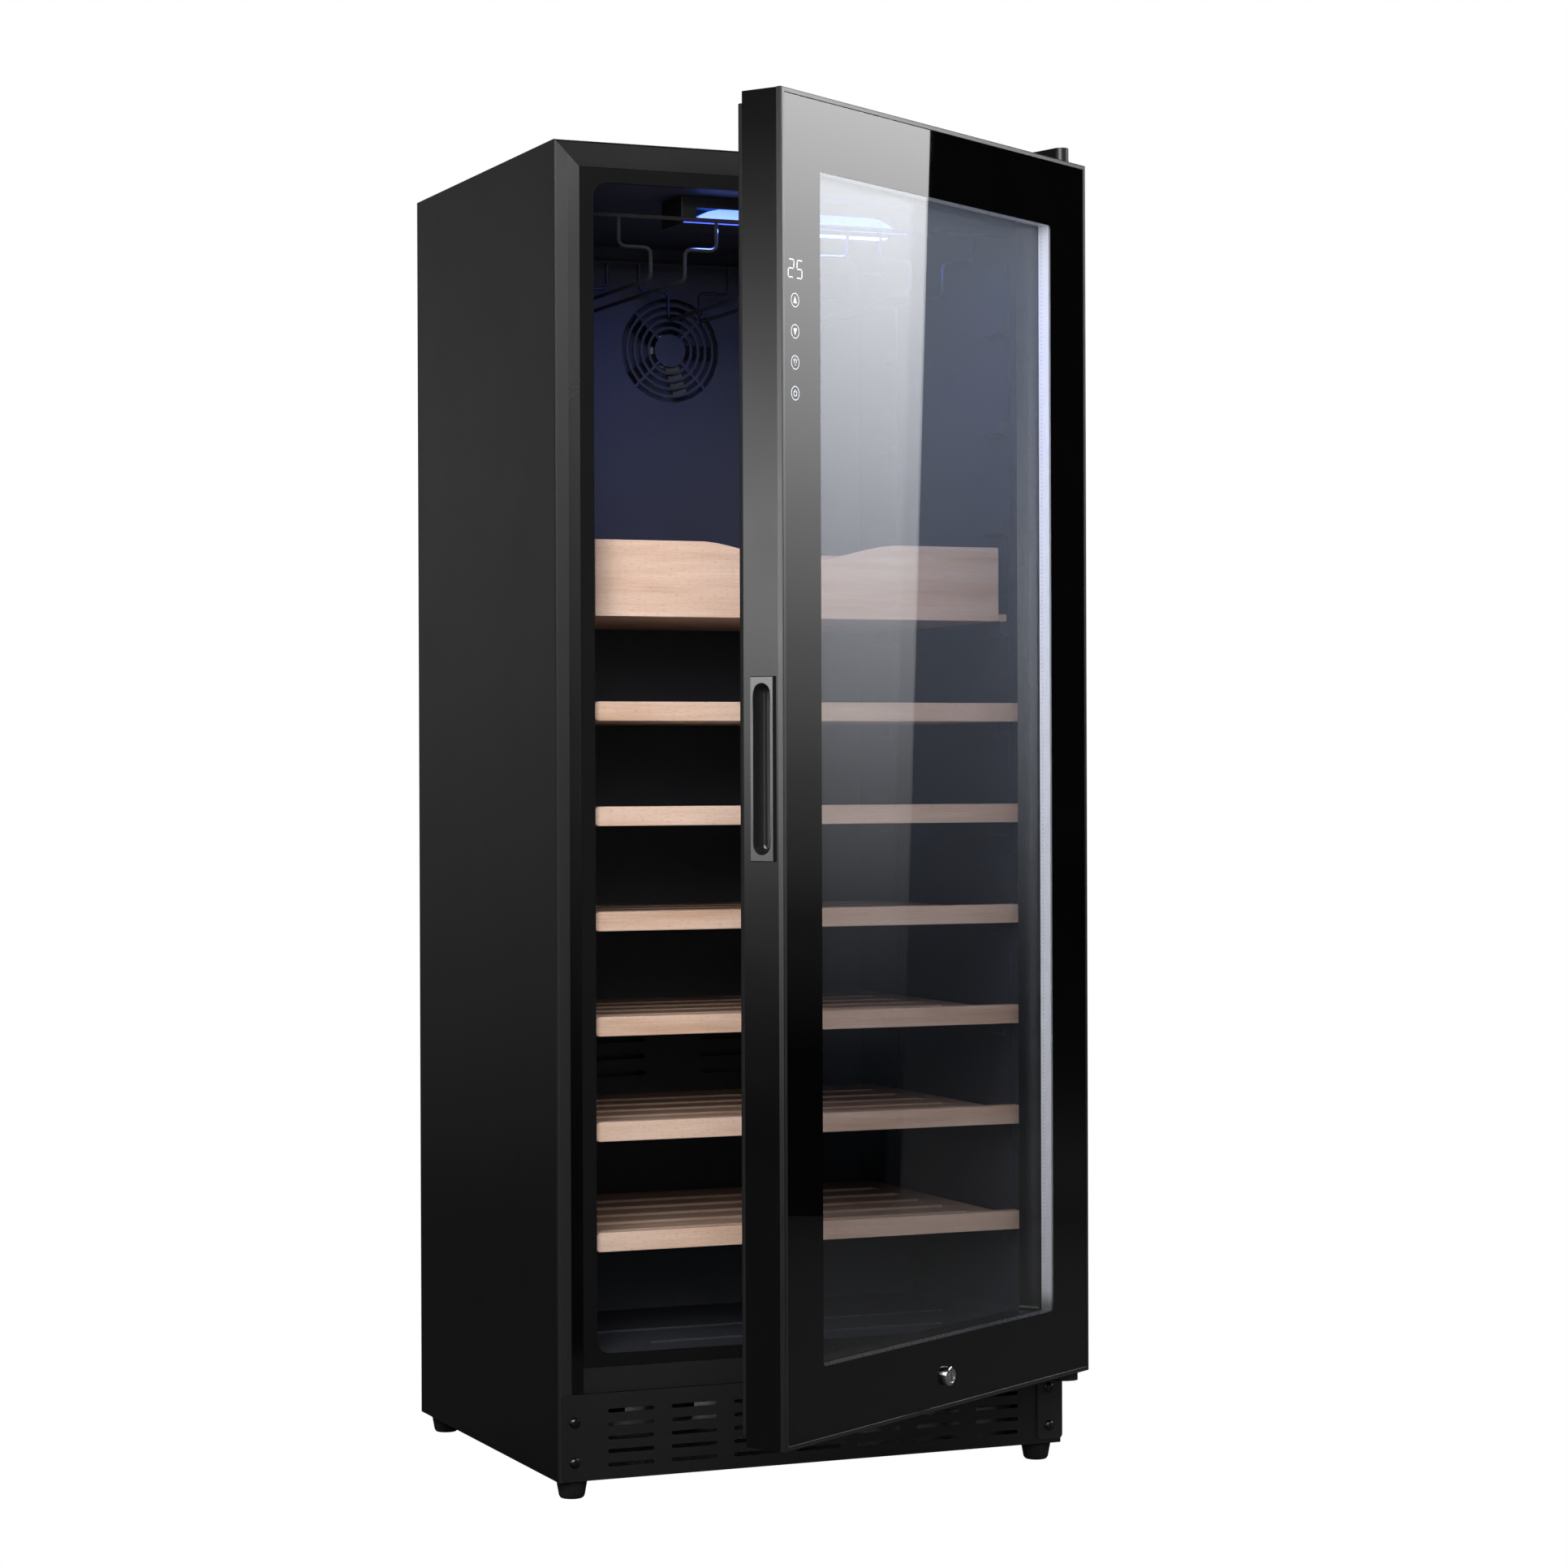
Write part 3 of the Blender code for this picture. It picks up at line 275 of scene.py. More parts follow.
def zincFinish(name, colour):
    # hot-dip zinc: crystals of different brightness
    coat = Finish(name, {"Metallic": 1.0})
    sockets = {"Vector": coat.spot(), "Scale": 130.0}
    cells = coat.node("TexVoronoi", {"feature": "F1"}, sockets, output="Color")
    grey = coat.node("RGBToBW", None, {"Color": cells})
    cloud = coat.noise(20, 4)
    coat.set({"Base Color": coat.mixed(grey * 0.8 + cloud * 0.2, [c * 0.74 for c in colour], colour)})
    coat.set({"Roughness": grey * 0.16 + cloud * 0.12 + 0.26})
    coat.bump(grey, 0.15, 0.00003)
    return coat.material


def plasticFinish(name, colour, roughness, grain=1400, depth=0.00002, shadeFrontEdge=None):
    # moulded plastic: faint grain and a few soft flow marks; in front of a given depth along y it may be painted
    # black, as painted shade
    coat = Finish(name, {"Specular IOR Level": 0.5})
    grit = coat.noise(grain, 2)
    flow = coat.noise(5, 4, (1, 1, 0.3))
    tone = coat.mixed(flow, [c * 0.8 for c in colour], [c * 1.2 for c in colour])
    if shadeFrontEdge is not None:
        tone = coat.mixed(coat.axes()[1].below(shadeFrontEdge), tone, (0.004, 0.004, 0.004))
    coat.set({"Base Color": tone, "Roughness": grit * 0.08 + flow * 0.1 + (roughness - 0.09)})
    coat.bump(grit, 0.3, depth)
    return coat.material


def rubberFinish(name, colour):
    # cast rubber: a fine tooth, and dust that dulls it in patches
    coat = Finish(name, {"Specular IOR Level": 0.35})
    grit = coat.noise(1800, 4)
    dust = coat.noise(60, 5)
    tone = coat.mixed(dust ** 2.0, colour, [c * 1.7 for c in colour])
    coat.set({"Base Color": tone, "Roughness": dust * 0.2 + 0.55})
    coat.bump(grit, 0.4, 0.00005)
    return coat.material


beechLook = {
    "pale": (0.86, 0.63, 0.50),
    "middle": (0.76, 0.52, 0.385),
    "deep": (0.62, 0.385, 0.26),
    "fleck": (0.42, 0.23, 0.14),
    "fleckLevel": 0.605, "fleckSoft": 1 / 16,  # a higher level leaves fewer flecks
    "fleckShare": 0.36,
    "roughness": 0.46,
}


def beechFinish(name, paintedShade=1.0):
    # grain runs across the cooler: soft growth bands and the short flecks of beech
    look = beechLook
    tones = ("deep", "middle", "pale", "fleck")
    # a share below one darkens every tone of the wood: painted shade
    deep, middle, pale, fleck = [[c * paintedShade for c in look[key]] for key in tones]
    coat = Finish(name, {"Specular IOR Level": 0.4, "Coat Weight": 0.12, "Coat Roughness": 0.3})
    warp = coat.noise(7, 3, (0.5, 2.4, 2.4))
    bands = coat.noise(24, 5, (0.16, 2.0, 2.0), 0.55)
    fibre = coat.noise(160, 3, (0.10, 4.0, 4.0), 0.6)
    grain = coat.ramp(bands * 0.62 + fibre * 0.26 + warp * 0.12, [(0.34, deep), (0.47, middle), (0.62, pale)])
    flecks = coat.noise(400, 1, (0.34, 3.6, 3.6), 0.4)
    fleckMask = flecks.between(look["fleckLevel"], look["fleckLevel"] + look["fleckSoft"])
    coat.set({"Base Color": coat.mixed(fleckMask * look["fleckShare"], grain, fleck)})
    coat.set({"Roughness": fibre * 0.14 + fleckMask * 0.1 + (look["roughness"] - 0.07)})
    coat.bump(fibre * 0.6 - fleckMask * 0.5, 0.25, 0.00012)
    return coat.material


paintedSheenLook = {
    # a bluish diffuse veil in the inner pane, heaviest at the top: painted sheen
    "colour": (0.78, 0.84, 0.96), "most": 0.13, "power": 2.0,
    "low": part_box("spacer_bar")[0].z + 0.12, "high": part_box("spacer_bar")[1].z,
}


def glassFinish(name, tint, bend, paintedSheen=None):
    # clear glass that lamps shine through; a pane may carry a painted sheen: a faint lamp-lit diffuse veil whose
    # share grows towards the top
    pane = Finish(name, {"Base Color": tint, "Roughness": 0.0, "IOR": bend, "Transmission Weight": 1.0})
    seen = pane.plain()
    if paintedSheen:
        rise = pane.axes()[2].between(paintedSheen["low"], paintedSheen["high"]) ** paintedSheen["power"]
        share = rise * (pane.noise(3, 2) * 0.1 + 0.95) * paintedSheen["most"]
        sheenLayer = pane.node("BsdfDiffuse", None, {"Color": paintedSheen["colour"], "Roughness": 0.0})
        seen = pane.blended(share, seen, sheenLayer)
    through = pane.node("BsdfTransparent", None, {"Color": [math.sqrt(c) * 0.96 for c in tint]})
    lampRay = pane.node("LightPath", output="Is Shadow Ray")
    pane.surface(pane.blended(lampRay, seen, through))
    return pane.material


def glowFinish(name, colour, strength, base=(0.8, 0.85, 0.95)):
    # frosted plastic lit from inside, a little uneven
    glow = Finish(name, {"Base Color": base, "Roughness": 0.3, "Emission Strength": strength})
    spread = glow.noise(25, 2)
    glow.set({"Emission Color": glow.mixed(spread * 0.35, colour, [c * 0.75 for c in colour])})
    return glow.material


spacerLook = {
    "pitch": 0.0043, "hole": 0.0004, "holeSoft": 1 / 4000,
    "row": 0.26,  # how far the holes lie from the back, as a share of the bar's depth
    # height of the painted shade at the bar's foot, and the colours of painted shade and painted light along its
    # height
    "foot": 0.0125, "footSoft": 1 / 60,
    "footShadeColour": (0.004, 0.004, 0.004), "shadedColour": (0.36, 0.34, 0.34), "litColour": (0.95, 0.95, 0.95),
    "holeColour": (0.05, 0.05, 0.05),
}


def spacerFinish(name):
    # aluminium bar with a row of small holes for the drying beads; its colour is painted light, brighter towards
    # the top, and painted shade, near black at its foot
    look = spacerLook
    coat = Finish(name, {"Specular IOR Level": 0.5})
    low, high = shutBox("spacer_bar")
    deep, tall = coat.axes(-doorTurn)[1:]
    rowY = high.y - (high.y - low.y) * look["row"]
    rowPlace = (Matrix.Rotation(-doorTurn, 4, "Z") @ (swing @ Vector((0, rowY, 0)))).y
    rise = ((tall / look["pitch"]).fraction() - 0.5) * look["pitch"]
    off = deep - rowPlace
    reach = (rise * rise + off * off) ** 0.5
    hole = 1.0 - reach.between(look["hole"], look["hole"] + look["holeSoft"])
    streak = coat.noise(500, 2, (1, 1, 0.1))
    foot = tall.between(low.z + look["foot"], low.z + look["foot"] + look["footSoft"])
    # the bar's brightness by height is painted light and painted shade
    metal = coat.mixed(tall.between(low.z, high.z) ** 0.5,
                       coat.mixed(foot, look["footShadeColour"], look["shadedColour"]), look["litColour"])
    coat.set({"Base Color": coat.mixed(hole * 0.85, metal, look["holeColour"])})
    coat.set({"Roughness": streak * 0.1 + 0.22})
    coat.bump(0.0 - hole, 0.4, 0.0003)
    return coat.material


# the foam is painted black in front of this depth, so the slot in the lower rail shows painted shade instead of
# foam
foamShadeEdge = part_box("insulation_foam")[0].y + 0.03
sidePaint = paintFinish("side_paint", (0.0018, 0.0018, 0.0018), 0.30, 1500, 0.00004)
panelPaint = panelFinish("panel_paint")
frontPaint = paintFinish("front_paint", (0.0125, 0.0125, 0.0128), 0.40, 1900, 0.00002)
kickPaint = paintFinish("kick_paint", (0.0075, 0.0075, 0.0077), 0.40, 1900, 0.00002)
doorPaint = paintFinish("door_paint", (0.0018, 0.0018, 0.0018), 0.18, 2000, 0.00001)
trimPaint = metalFinish("trim_metal", (0.13, 0.13, 0.132), 0.32, (1, 1, 0.05))
zinc = zincFinish("zinc_sheet", (0.62, 0.63, 0.65))
linerPlastic = plasticFinish("liner_plastic", (0.036, 0.040, 0.050), 0.50)
blackPlastic = plasticFinish("black_plastic", (0.004, 0.004, 0.004), 0.36)
breakerPlastic = plasticFinish("breaker_plastic", (0.0012, 0.0012, 0.0013), 0.55)
breakerPlastic.node_tree.nodes["Principled BSDF"].inputs["Specular IOR Level"].default_value = 0.2
cupPlastic = plasticFinish("cup_plastic", (0.016, 0.016, 0.016), 0.20)
rubber = rubberFinish("rubber", (0.010, 0.010, 0.010))
foamFinish = plasticFinish("foam", (0.72, 0.62, 0.36), 0.85, 500, 0.0003, foamShadeEdge)
beech = beechFinish("beech")
# a darker copy of the beech for the racks and drawer box behind the fronts: painted shade
beechShaded = beechFinish("beech_painted_shade", 0.72)
handleMetal = metalFinish("handle_metal", (0.15, 0.15, 0.153), 0.26, (1, 1, 0.04))
chrome = metalFinish("chrome", (0.82, 0.82, 0.83), 0.20)
aluminium = metalFinish("aluminium", (0.70, 0.71, 0.72), 0.34, (0.1, 1, 1))
compressorPaint = plasticFinish("compressor_paint", (0.012, 0.012, 0.013), 0.26, 300, 0.00003)
screwSteel = metalFinish("screw_steel", (0.075, 0.075, 0.078), 0.30)
wireCoat = plasticFinish("rack_wire", (0.014, 0.014, 0.015), 0.30, 900)
outerGlass = glassFinish("door_glass", (0.78, 0.80, 0.83), 1.43)
innerGlass = glassFinish("pane_glass", (0.80, 0.81, 0.83), 1.18, paintedSheenLook)
spacerMetal = spacerFinish("spacer_aluminium")
lensGlow = glowFinish("lamp_lens", (0.02, 0.14, 1.0), 2.0)
edgeGlow = glowFinish("lamp_edge_glow", (0.03, 0.08, 1.0), 2.2)
digitGlow = glowFinish("digit_glow", (0.90, 0.93, 1.0), 1.1)
iconWhite = glowFinish("icon_white", (0.92, 0.94, 0.97), 1.0)
gloss = Finish("glass_border", {"Specular IOR Level": 0.5})
smear = gloss.noise(11, 3)
gloss.set({"Base Color": gloss.mixed(smear, (0.0008, 0.0008, 0.0008), (0.0016, 0.0016, 0.0016))})
gloss.set({"Roughness": smear * 0.02})
printBlack = gloss.material
print("finishes made")


# making pieces
def piece(name, bm, finish, body, turn=None, smooth=34, weighted=False):
    # ends a bmesh as an object that rides on a body; edges sharper than smooth degrees stay crisp
    if turn:
        bmesh.ops.transform(bm, matrix=turn, verts=bm.verts)
    mesh = bpy.data.meshes.new(name)
    bm.to_mesh(mesh)
    bm.free()
    mesh.materials.clear()
    mesh.materials.append(finish)
    mesh.polygons.foreach_set("use_smooth", [True] * len(mesh.polygons))
    mesh.set_sharp_from_angle(angle=math.radians(smooth))
    made = bpy.data.objects.new(name, mesh)
    bpy.context.scene.collection.objects.link(made)
    if weighted:
        level = made.modifiers.new("even_faces", "WEIGHTED_NORMAL")
        level.keep_sharp = True
    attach(made, body)
    return made


def rounded(bm, lines, width, rounds=2):
    bmesh.ops.bevel(bm, geom=lines, offset=width, offset_type="OFFSET", segments=rounds, profile=0.5,
                    affect="EDGES", clamp_overlap=True, material=-1)


def refined(node, finish, edge=0.0, rounds=2, flatten=True, smooth=34):
    # a merged copy of a CAD piece with its edges softened
    mesh = nodes[node].data.copy()
    stored = mesh.attributes.get("custom_normal")
    if stored:
        mesh.attributes.remove(stored)
    bm = bmesh.new()
    bm.from_mesh(mesh)
    bmesh.ops.remove_doubles(bm, verts=bm.verts, dist=0.000002)
    if flatten:
        bmesh.ops.dissolve_limit(bm, angle_limit=math.radians(0.6), verts=bm.verts, edges=bm.edges)
    if edge:
        corners = [line for line in bm.edges
                   if len(line.link_faces) == 2 and line.calc_face_angle() > math.radians(48)]
        rounded(bm, corners, edge, rounds)
    made = piece(node + "_finish", bm, finish, bodyOf[node], smooth=smooth, weighted=True)
    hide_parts(node)
    return made


def ringSweep(bm, box, profile):
    # sweeps a closed section of (inset, depth) points round a rectangle (x low, x high, z low, z high)
    centre = ((box[0] + box[1]) / 2, (box[2] + box[3]) / 2)

    def settle(verts, signs, inset, depth):
        for vert, (across, up) in zip(verts, signs):
            reach = (box[1] - box[0]) / 2 - inset
            tall = (box[3] - box[2]) / 2 - inset
            vert.co = (centre[0] + across * reach, depth, centre[1] + up * tall)

    signs = [(-1, -1), (1, -1), (1, 1), (-1, 1)]
    first = bmesh.ops.create_circle(bm, segments=4, radius=1)["verts"]
    settle(first, signs, *profile[0])
    loop = list({line for vert in first for line in vert.link_edges})
    start, verts = loop, first
    for inset, depth in profile[1:]:
        grown = bmesh.ops.extrude_edge_only(bm, edges=loop)["geom"]
        fresh = [item for item in grown if isinstance(item, bmesh.types.BMVert)]
        lines = [item for item in grown if isinstance(item, bmesh.types.BMEdge)]
        follow = []
        for vert in verts:
            follow.append(next(new for new in fresh
                               if any(line.other_vert(new) is vert for line in new.link_edges)))
        settle(follow, signs, inset, depth)
        freshSet = set(fresh)
        loop = [line for line in lines if line.verts[0] in freshSet and line.verts[1] in freshSet]
        verts = follow
    bmesh.ops.bridge_loops(bm, edges=start + loop)
    bmesh.ops.recalc_face_normals(bm, faces=bm.faces)


def spun(bm, profile, steps=64):
    # turns a profile of (radius, height) points about Z
    previous = None
    lines = []
    for radius, height in profile:
        vert = bmesh.ops.create_vert(bm, co=(radius, 0, height))["vert"][0]
        if previous:
            lines.append(bm.edges.new((previous, vert)))
        previous = vert
    bmesh.ops.spin(bm, geom=lines + list({vert for line in lines for vert in line.verts}), cent=(0, 0, 0),
                   axis=(0, 0, 1), angle=math.tau, steps=steps, use_merge=True)
    bmesh.ops.remove_doubles(bm, verts=bm.verts, dist=0.000002)
    bmesh.ops.recalc_face_normals(bm, faces=bm.faces)


# carried-over pieces with their own finish
finishOf = {
    "rear_panel": zinc, "machine_cover": zinc, "base_pan": zinc, "evaporator_fan_motor": zinc,
    "condenser": zinc, "power_box": zinc, "hinge_bracket_top": zinc, "lock_cam": zinc,
    "insulation_foam": foamFinish, "evaporator": aluminium, "compressor": compressorPaint,
    "drip_tray": blackPlastic, "condenser_fan_shroud": blackPlastic, "condenser_fan": blackPlastic,
    "evaporator_fan": blackPlastic, "cord_gland": rubber, "outer_glass": outerGlass,
    "inner_glass": innerGlass, "spacer_bar": spacerMetal, "lamp_lens": lensGlow,
    "display_module": blackPlastic, "duct_cover": linerPlastic,
}
for node, finish in finishOf.items():
    mesh = nodes[node].data
    mesh.materials.clear()
    mesh.materials.append(finish)

refineList = (
    ("side_panel_left", panelPaint, 0.0), ("side_panel_right", panelPaint, 0.0),
    ("top_panel", sidePaint, 0.0), ("lower_rail", kickPaint, 0.0003), ("kick_grille", kickPaint, 0.0),
    ("breaker_frame", breakerPlastic, 0.0), ("inner_liner", linerPlastic, 0.0),
    ("lamp_housing", blackPlastic, 0.0006), ("glass_rack", wireCoat, 0.0),
    ("hinge_cover_top", blackPlastic, 0.0010), ("hinge_bracket_bottom", frontPaint, 0.0004),
    ("door_frame", doorPaint, 0.0), ("lock_plug", chrome, 0.0),
    ("drawer_front", beech, 0.0012), ("drawer_box", beechShaded, 0.0008),
)
for node, finish, edge in refineList:
    refined(node, finish, edge, flatten=bool(edge))
for number in range(1, 7):
    refined(f"shelf_{number}_front", beech, 0.0012)
    refined(f"shelf_{number}_rack", beechShaded, 0.0)
for word in ("grille", "hinge"):
    for number in (1, 2):
        refined(f"{word}_screw_{number}", screwSteel, 0.0, flatten=False, smooth=38)
print("carried-over pieces finished")

# glossy black border on the front of the door glass
glassLow, glassHigh = shutBox("outer_glass")
barLow, barHigh = shutBox("spacer_bar")
printLook = {
    "bar": 0.0065,  # how much of the spacer bar it hides
    "stand": 0.00004, "thickness": 0.00008, "rim": 0.0003, "corner": 0.004, "steps": 6,
}
look = printLook
seen = (barLow.x + look["bar"], barHigh.x - look["bar"],
        barLow.z + look["bar"], barHigh.z - look["bar"])  # the clear window
rim = look["rim"]
glassEdge = (glassLow.x + rim, glassHigh.x - rim, glassLow.z + rim, glassHigh.z - rim)


def roundedLoop(bm, box, radius, depth, steps):
    # a rectangle with rounded corners in the plane of the door
    loop = bmesh.ops.create_circle(bm, segments=4 * steps, radius=1)["verts"]
    for number, vert in enumerate(loop):
        corner, step = divmod(number, steps)
        angle = math.radians(90 * (corner + step / (steps - 1)))
        across = box[1] - radius if corner in (0, 3) else box[0] + radius
        up = box[3] - radius if corner in (0, 1) else box[2] + radius
        vert.co = (across + radius * math.cos(angle), depth, up + radius * math.sin(angle))
    return loop


def edgesOf(verts):
    chosen = set(verts)
    return list({line for vert in verts for line in vert.link_edges if line.other_vert(vert) in chosen})


bm = bmesh.new()
printBack = glassLow.y - look["stand"]
printFront = printBack - look["thickness"]
outer = roundedLoop(bm, glassEdge, 0.0004, printFront, look["steps"])
inner = roundedLoop(bm, seen, look["corner"], printFront, look["steps"])
bmesh.ops.bridge_loops(bm, edges=edgesOf(outer) + edgesOf(inner))
grown = bmesh.ops.extrude_face_region(bm, geom=bm.faces, use_keep_orig=True)["geom"]
bmesh.ops.translate(bm, vec=(0, look["thickness"], 0),
                    verts=[item for item in grown if isinstance(item, bmesh.types.BMVert)])
bmesh.ops.recalc_face_normals(bm, faces=bm.faces)
piece("border_print", bm, printBlack, "door", swing)

# metal edge of the door
frameLow, frameHigh = shutBox("door_frame")
trimLook = {
    "width": 0.0047, "proud": 0.0004, "chamfer": 0.0011, "fillet": 0.0003, "skin": 0.0002, "depth": 0.006,
}
look = trimLook
face = frameLow.y
crown, fillet = face - look["proud"], look["fillet"]
bm = bmesh.new()
ringSweep(bm, (frameLow.x, frameHigh.x, frameLow.z, frameHigh.z),
          [(-look["skin"], face + look["depth"]), (-look["skin"], crown + look["chamfer"]),
           (look["chamfer"] - look["skin"], crown), (look["width"] - fillet, crown),
           (look["width"], crown + fillet), (look["width"], face + fillet),
           (look["width"] * 0.5, face + look["depth"])])
doorTrim = piece("door_trim", bm, trimPaint, "door", swing, smooth=20)

# folded door seal
sealLow, sealHigh = shutBox("door_gasket")
sealLook = {"width": 0.0130, "magnet": 0.0030, "outward": 0.0045}
look = sealLook
back = sealHigh.y
front = sealLow.y
w = look["width"]
fold = back - look["magnet"]  # the bellows start here, in front of the magnet strip
section = [(w * 0.15, front), (w * 0.15, front + 0.0012), (0.0, front + 0.0026), (w * 0.12, front + 0.0040),
           (0.0, front + 0.0054), (0.0006, back - 0.0006), (0.0016, back), (w - 0.0042, back),
           (w - 0.0030, back - 0.0010), (w - 0.0034, fold), (w - 0.0010, fold - 0.0010),
           (w, front + 0.0034), (w - 0.0016, front + 0.0022), (w * 0.85, front + 0.0012), (w * 0.85, front)]
bm = bmesh.new()
outward = look["outward"]
ringSweep(bm, (sealLow.x - outward, sealHigh.x + outward, sealLow.z, sealHigh.z), section)
seal = piece("door_seal", bm, rubber, "door", swing, smooth=50)
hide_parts("door_gasket")

# recessed pull in the free edge
cupLow, cupHigh = shutBox("handle_cup")
pullLook = {
    "lip": 0.0034, "end": 0.0062, "mouth": 0.0004, "depth": 0.0140, "floor": 0.72,
    "segments": 96, "rounds": 9,
}
look = pullLook
middle = (cupLow + cupHigh) / 2
halfDeep = (cupHigh.y - cupLow.y) / 2
halfTall = (cupHigh.z - cupLow.z) / 2
radius = halfDeep - look["lip"]
straight = halfTall - look["end"] - radius


def stadium(bm, grow, inward):
    # a round-ended loop, grow wider than the recess's mouth
    loop = bmesh.ops.create_circle(bm, segments=look["segments"], radius=1)["verts"]
    for vert in loop:
        across, up = vert.co.x, vert.co.y
        lift = straight if up > 1e-6 else -straight if up < -1e-6 else 0
        wide = radius + grow
        vert.co = (cupLow.x + inward, middle.y + across * wide, middle.z + lift + up * wide)
    return loop


bm = bmesh.new()
outer = bmesh.ops.create_circle(bm, segments=look["segments"], radius=1)["verts"]
for vert in outer:
    size = max(abs(vert.co.x), abs(vert.co.y))
    across, up = vert.co.x / size, vert.co.y / size
    vert.co = (cupLow.x, middle.y + across * halfDeep, middle.z + up * halfTall)
skirt = bmesh.ops.create_circle(bm, segments=look["segments"], radius=1)["verts"]
for vert, above in zip(skirt, outer):
    vert.co = (cupHigh.x - 0.0005, above.co.y, above.co.z)
mouth = stadium(bm, look["mouth"], 0.0)
bmesh.ops.bridge_loops(bm, edges=edgesOf(outer) + edgesOf(skirt))
bmesh.ops.bridge_loops(bm, edges=edgesOf(outer) + edgesOf(mouth))
frameOfPull = piece("handle_frame", bm, handleMetal, "door", swing, smooth=30)
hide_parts("handle_cup")

# painted shadow round the pull: thin black plates where the recess's shadow falls
pullShadowLook = {"front": 0.0040, "around": 0.0008, "proud": 0.00015, "deep": 0.001}
pullShadow = pullShadowLook
bm = bmesh.new()
edge = pullShadow["around"]
strips = ((cupLow.y - pullShadow["front"], cupLow.y, cupLow.z - edge, cupHigh.z + edge),
          (cupHigh.y, cupHigh.y + edge * 0.5, cupLow.z - edge, cupHigh.z + edge),
          (cupLow.y, cupHigh.y, cupHigh.z, cupHigh.z + edge),
          (cupLow.y, cupHigh.y, cupLow.z - edge, cupLow.z))
for y0, y1, z0, z1 in strips:
    corner = Vector((frameLow.x - pullShadow["proud"], y0, z0))
    size = Vector((pullShadow["proud"] + pullShadow["deep"], y1 - y0, z1 - z0))
    place = Matrix.Translation(corner + size / 2)
    bmesh.ops.create_cube(bm, size=1, matrix=place @ Matrix.Diagonal((*size, 1)))
piece("handle_painted_shadow", bm, breakerPlastic, "door", swing)

# hollow of the pull
bm = bmesh.new()
previous = stadium(bm, look["mouth"], 0.0)
for step in range(1, look["rounds"] + 1):
    angle = math.pi / 2 * step / look["rounds"]
    shrink = radius * look["floor"] * (1 - math.cos(angle)) ** 1.3
    current = stadium(bm, -shrink, look["depth"] * math.sin(angle))
    bmesh.ops.bridge_loops(bm, edges=edgesOf(previous) + edgesOf(current))
    previous = current
bmesh.ops.contextual_create(bm, geom=edgesOf(previous))
bmesh.ops.recalc_face_normals(bm, faces=bm.faces)
bmesh.ops.reverse_faces(bm, faces=bm.faces)
piece("handle_recess", bm, cupPlastic, "door", swing, smooth=40)

# display digits and touch icons, in front of the border; icon sizes are shares of the ring's radius
displayLow = shutBox("display_module")[0]
displayLook = {
    "start": 0.00009, "thickness": 0.00006,
    "digitLeft": 0.0025, "digitWidth": 0.0092, "digitGap": 0.0056,
    "digitLow": 0.1295, "digitTall": 0.0175,
    "stroke": 0.0011, "slant": 0.0013,
    "iconAcross": 0.0145, "iconHeights": (0.1076, 0.0769, 0.0465, 0.0163), "iconRadius": 0.0067,
    "line": 0.00055, "arrowTall": 0.85, "arrowWide": 0.40, "arrowBars": 9, "arrowBar": 0.11,
    "bulb": 0.30, "bulbUp": 0.12, "capDown": 0.38, "capHalf": 0.16, "rays": (0.42, 0.60),
    "ring": 0.42, "stem": (0.05, 0.55),
}
look = displayLook
sheetY = printFront - look["start"]


def bar(bm, start, end, thick):
    # a flat stroke between two points of the door face
    first, last = Vector((start[0], 0, start[1])), Vector((end[0], 0, end[1]))
    run = last - first
    turn = Vector((1, 0, 0)).rotation_difference(run.normalized()).to_matrix().to_4x4()
    size = Matrix.Diagonal((run.length, look["thickness"], thick, 1))
    place = Matrix.Translation((first + last) / 2 + Vector((0, sheetY + look["thickness"] / 2, 0)))
    bmesh.ops.create_cube(bm, size=1, matrix=place @ turn @ size)


def arc(bm, centre, radius, start, end, thick, steps=20):
    for step in range(steps):
        first, last = [math.radians(start + (end - start) * (step + part) / steps) for part in (0, 1.08)]
        bar(bm, (centre[0] + radius * math.cos(first), centre[1] + radius * math.sin(first)),
            (centre[0] + radius * math.cos(last), centre[1] + radius * math.sin(last)), thick)


segments = {"2": "abged", "5": "afgcd"}
bm = bmesh.new()
for place, digit in enumerate("25"):
    left = displayLow.x + look["digitLeft"] + place * (look["digitWidth"] + look["digitGap"])
    low = displayLow.z + look["digitLow"]
    wide, tall, inset = look["digitWidth"], look["digitTall"], look["stroke"] * 0.75
    ends = {"a": ((0, 1), (1, 1)), "b": ((1, 1), (1, 0.5)), "c": ((1, 0.5), (1, 0)), "d": ((0, 0), (1, 0)),
            "e": ((0, 0.5), (0, 0)), "f": ((0, 1), (0, 0.5)), "g": ((0, 0.5), (1, 0.5))}
    for key in segments[digit]:
        (x0, z0), (x1, z1) = ends[key]
        first = Vector((left + x0 * wide + z0 * look["slant"], low + z0 * tall))
        last = Vector((left + x1 * wide + z1 * look["slant"], low + z1 * tall))
        trim = (last - first).normalized() * inset
        bar(bm, first + trim, last - trim, look["stroke"])
piece("display_digits", bm, digitGlow, "door", swing)
bm = bmesh.new()
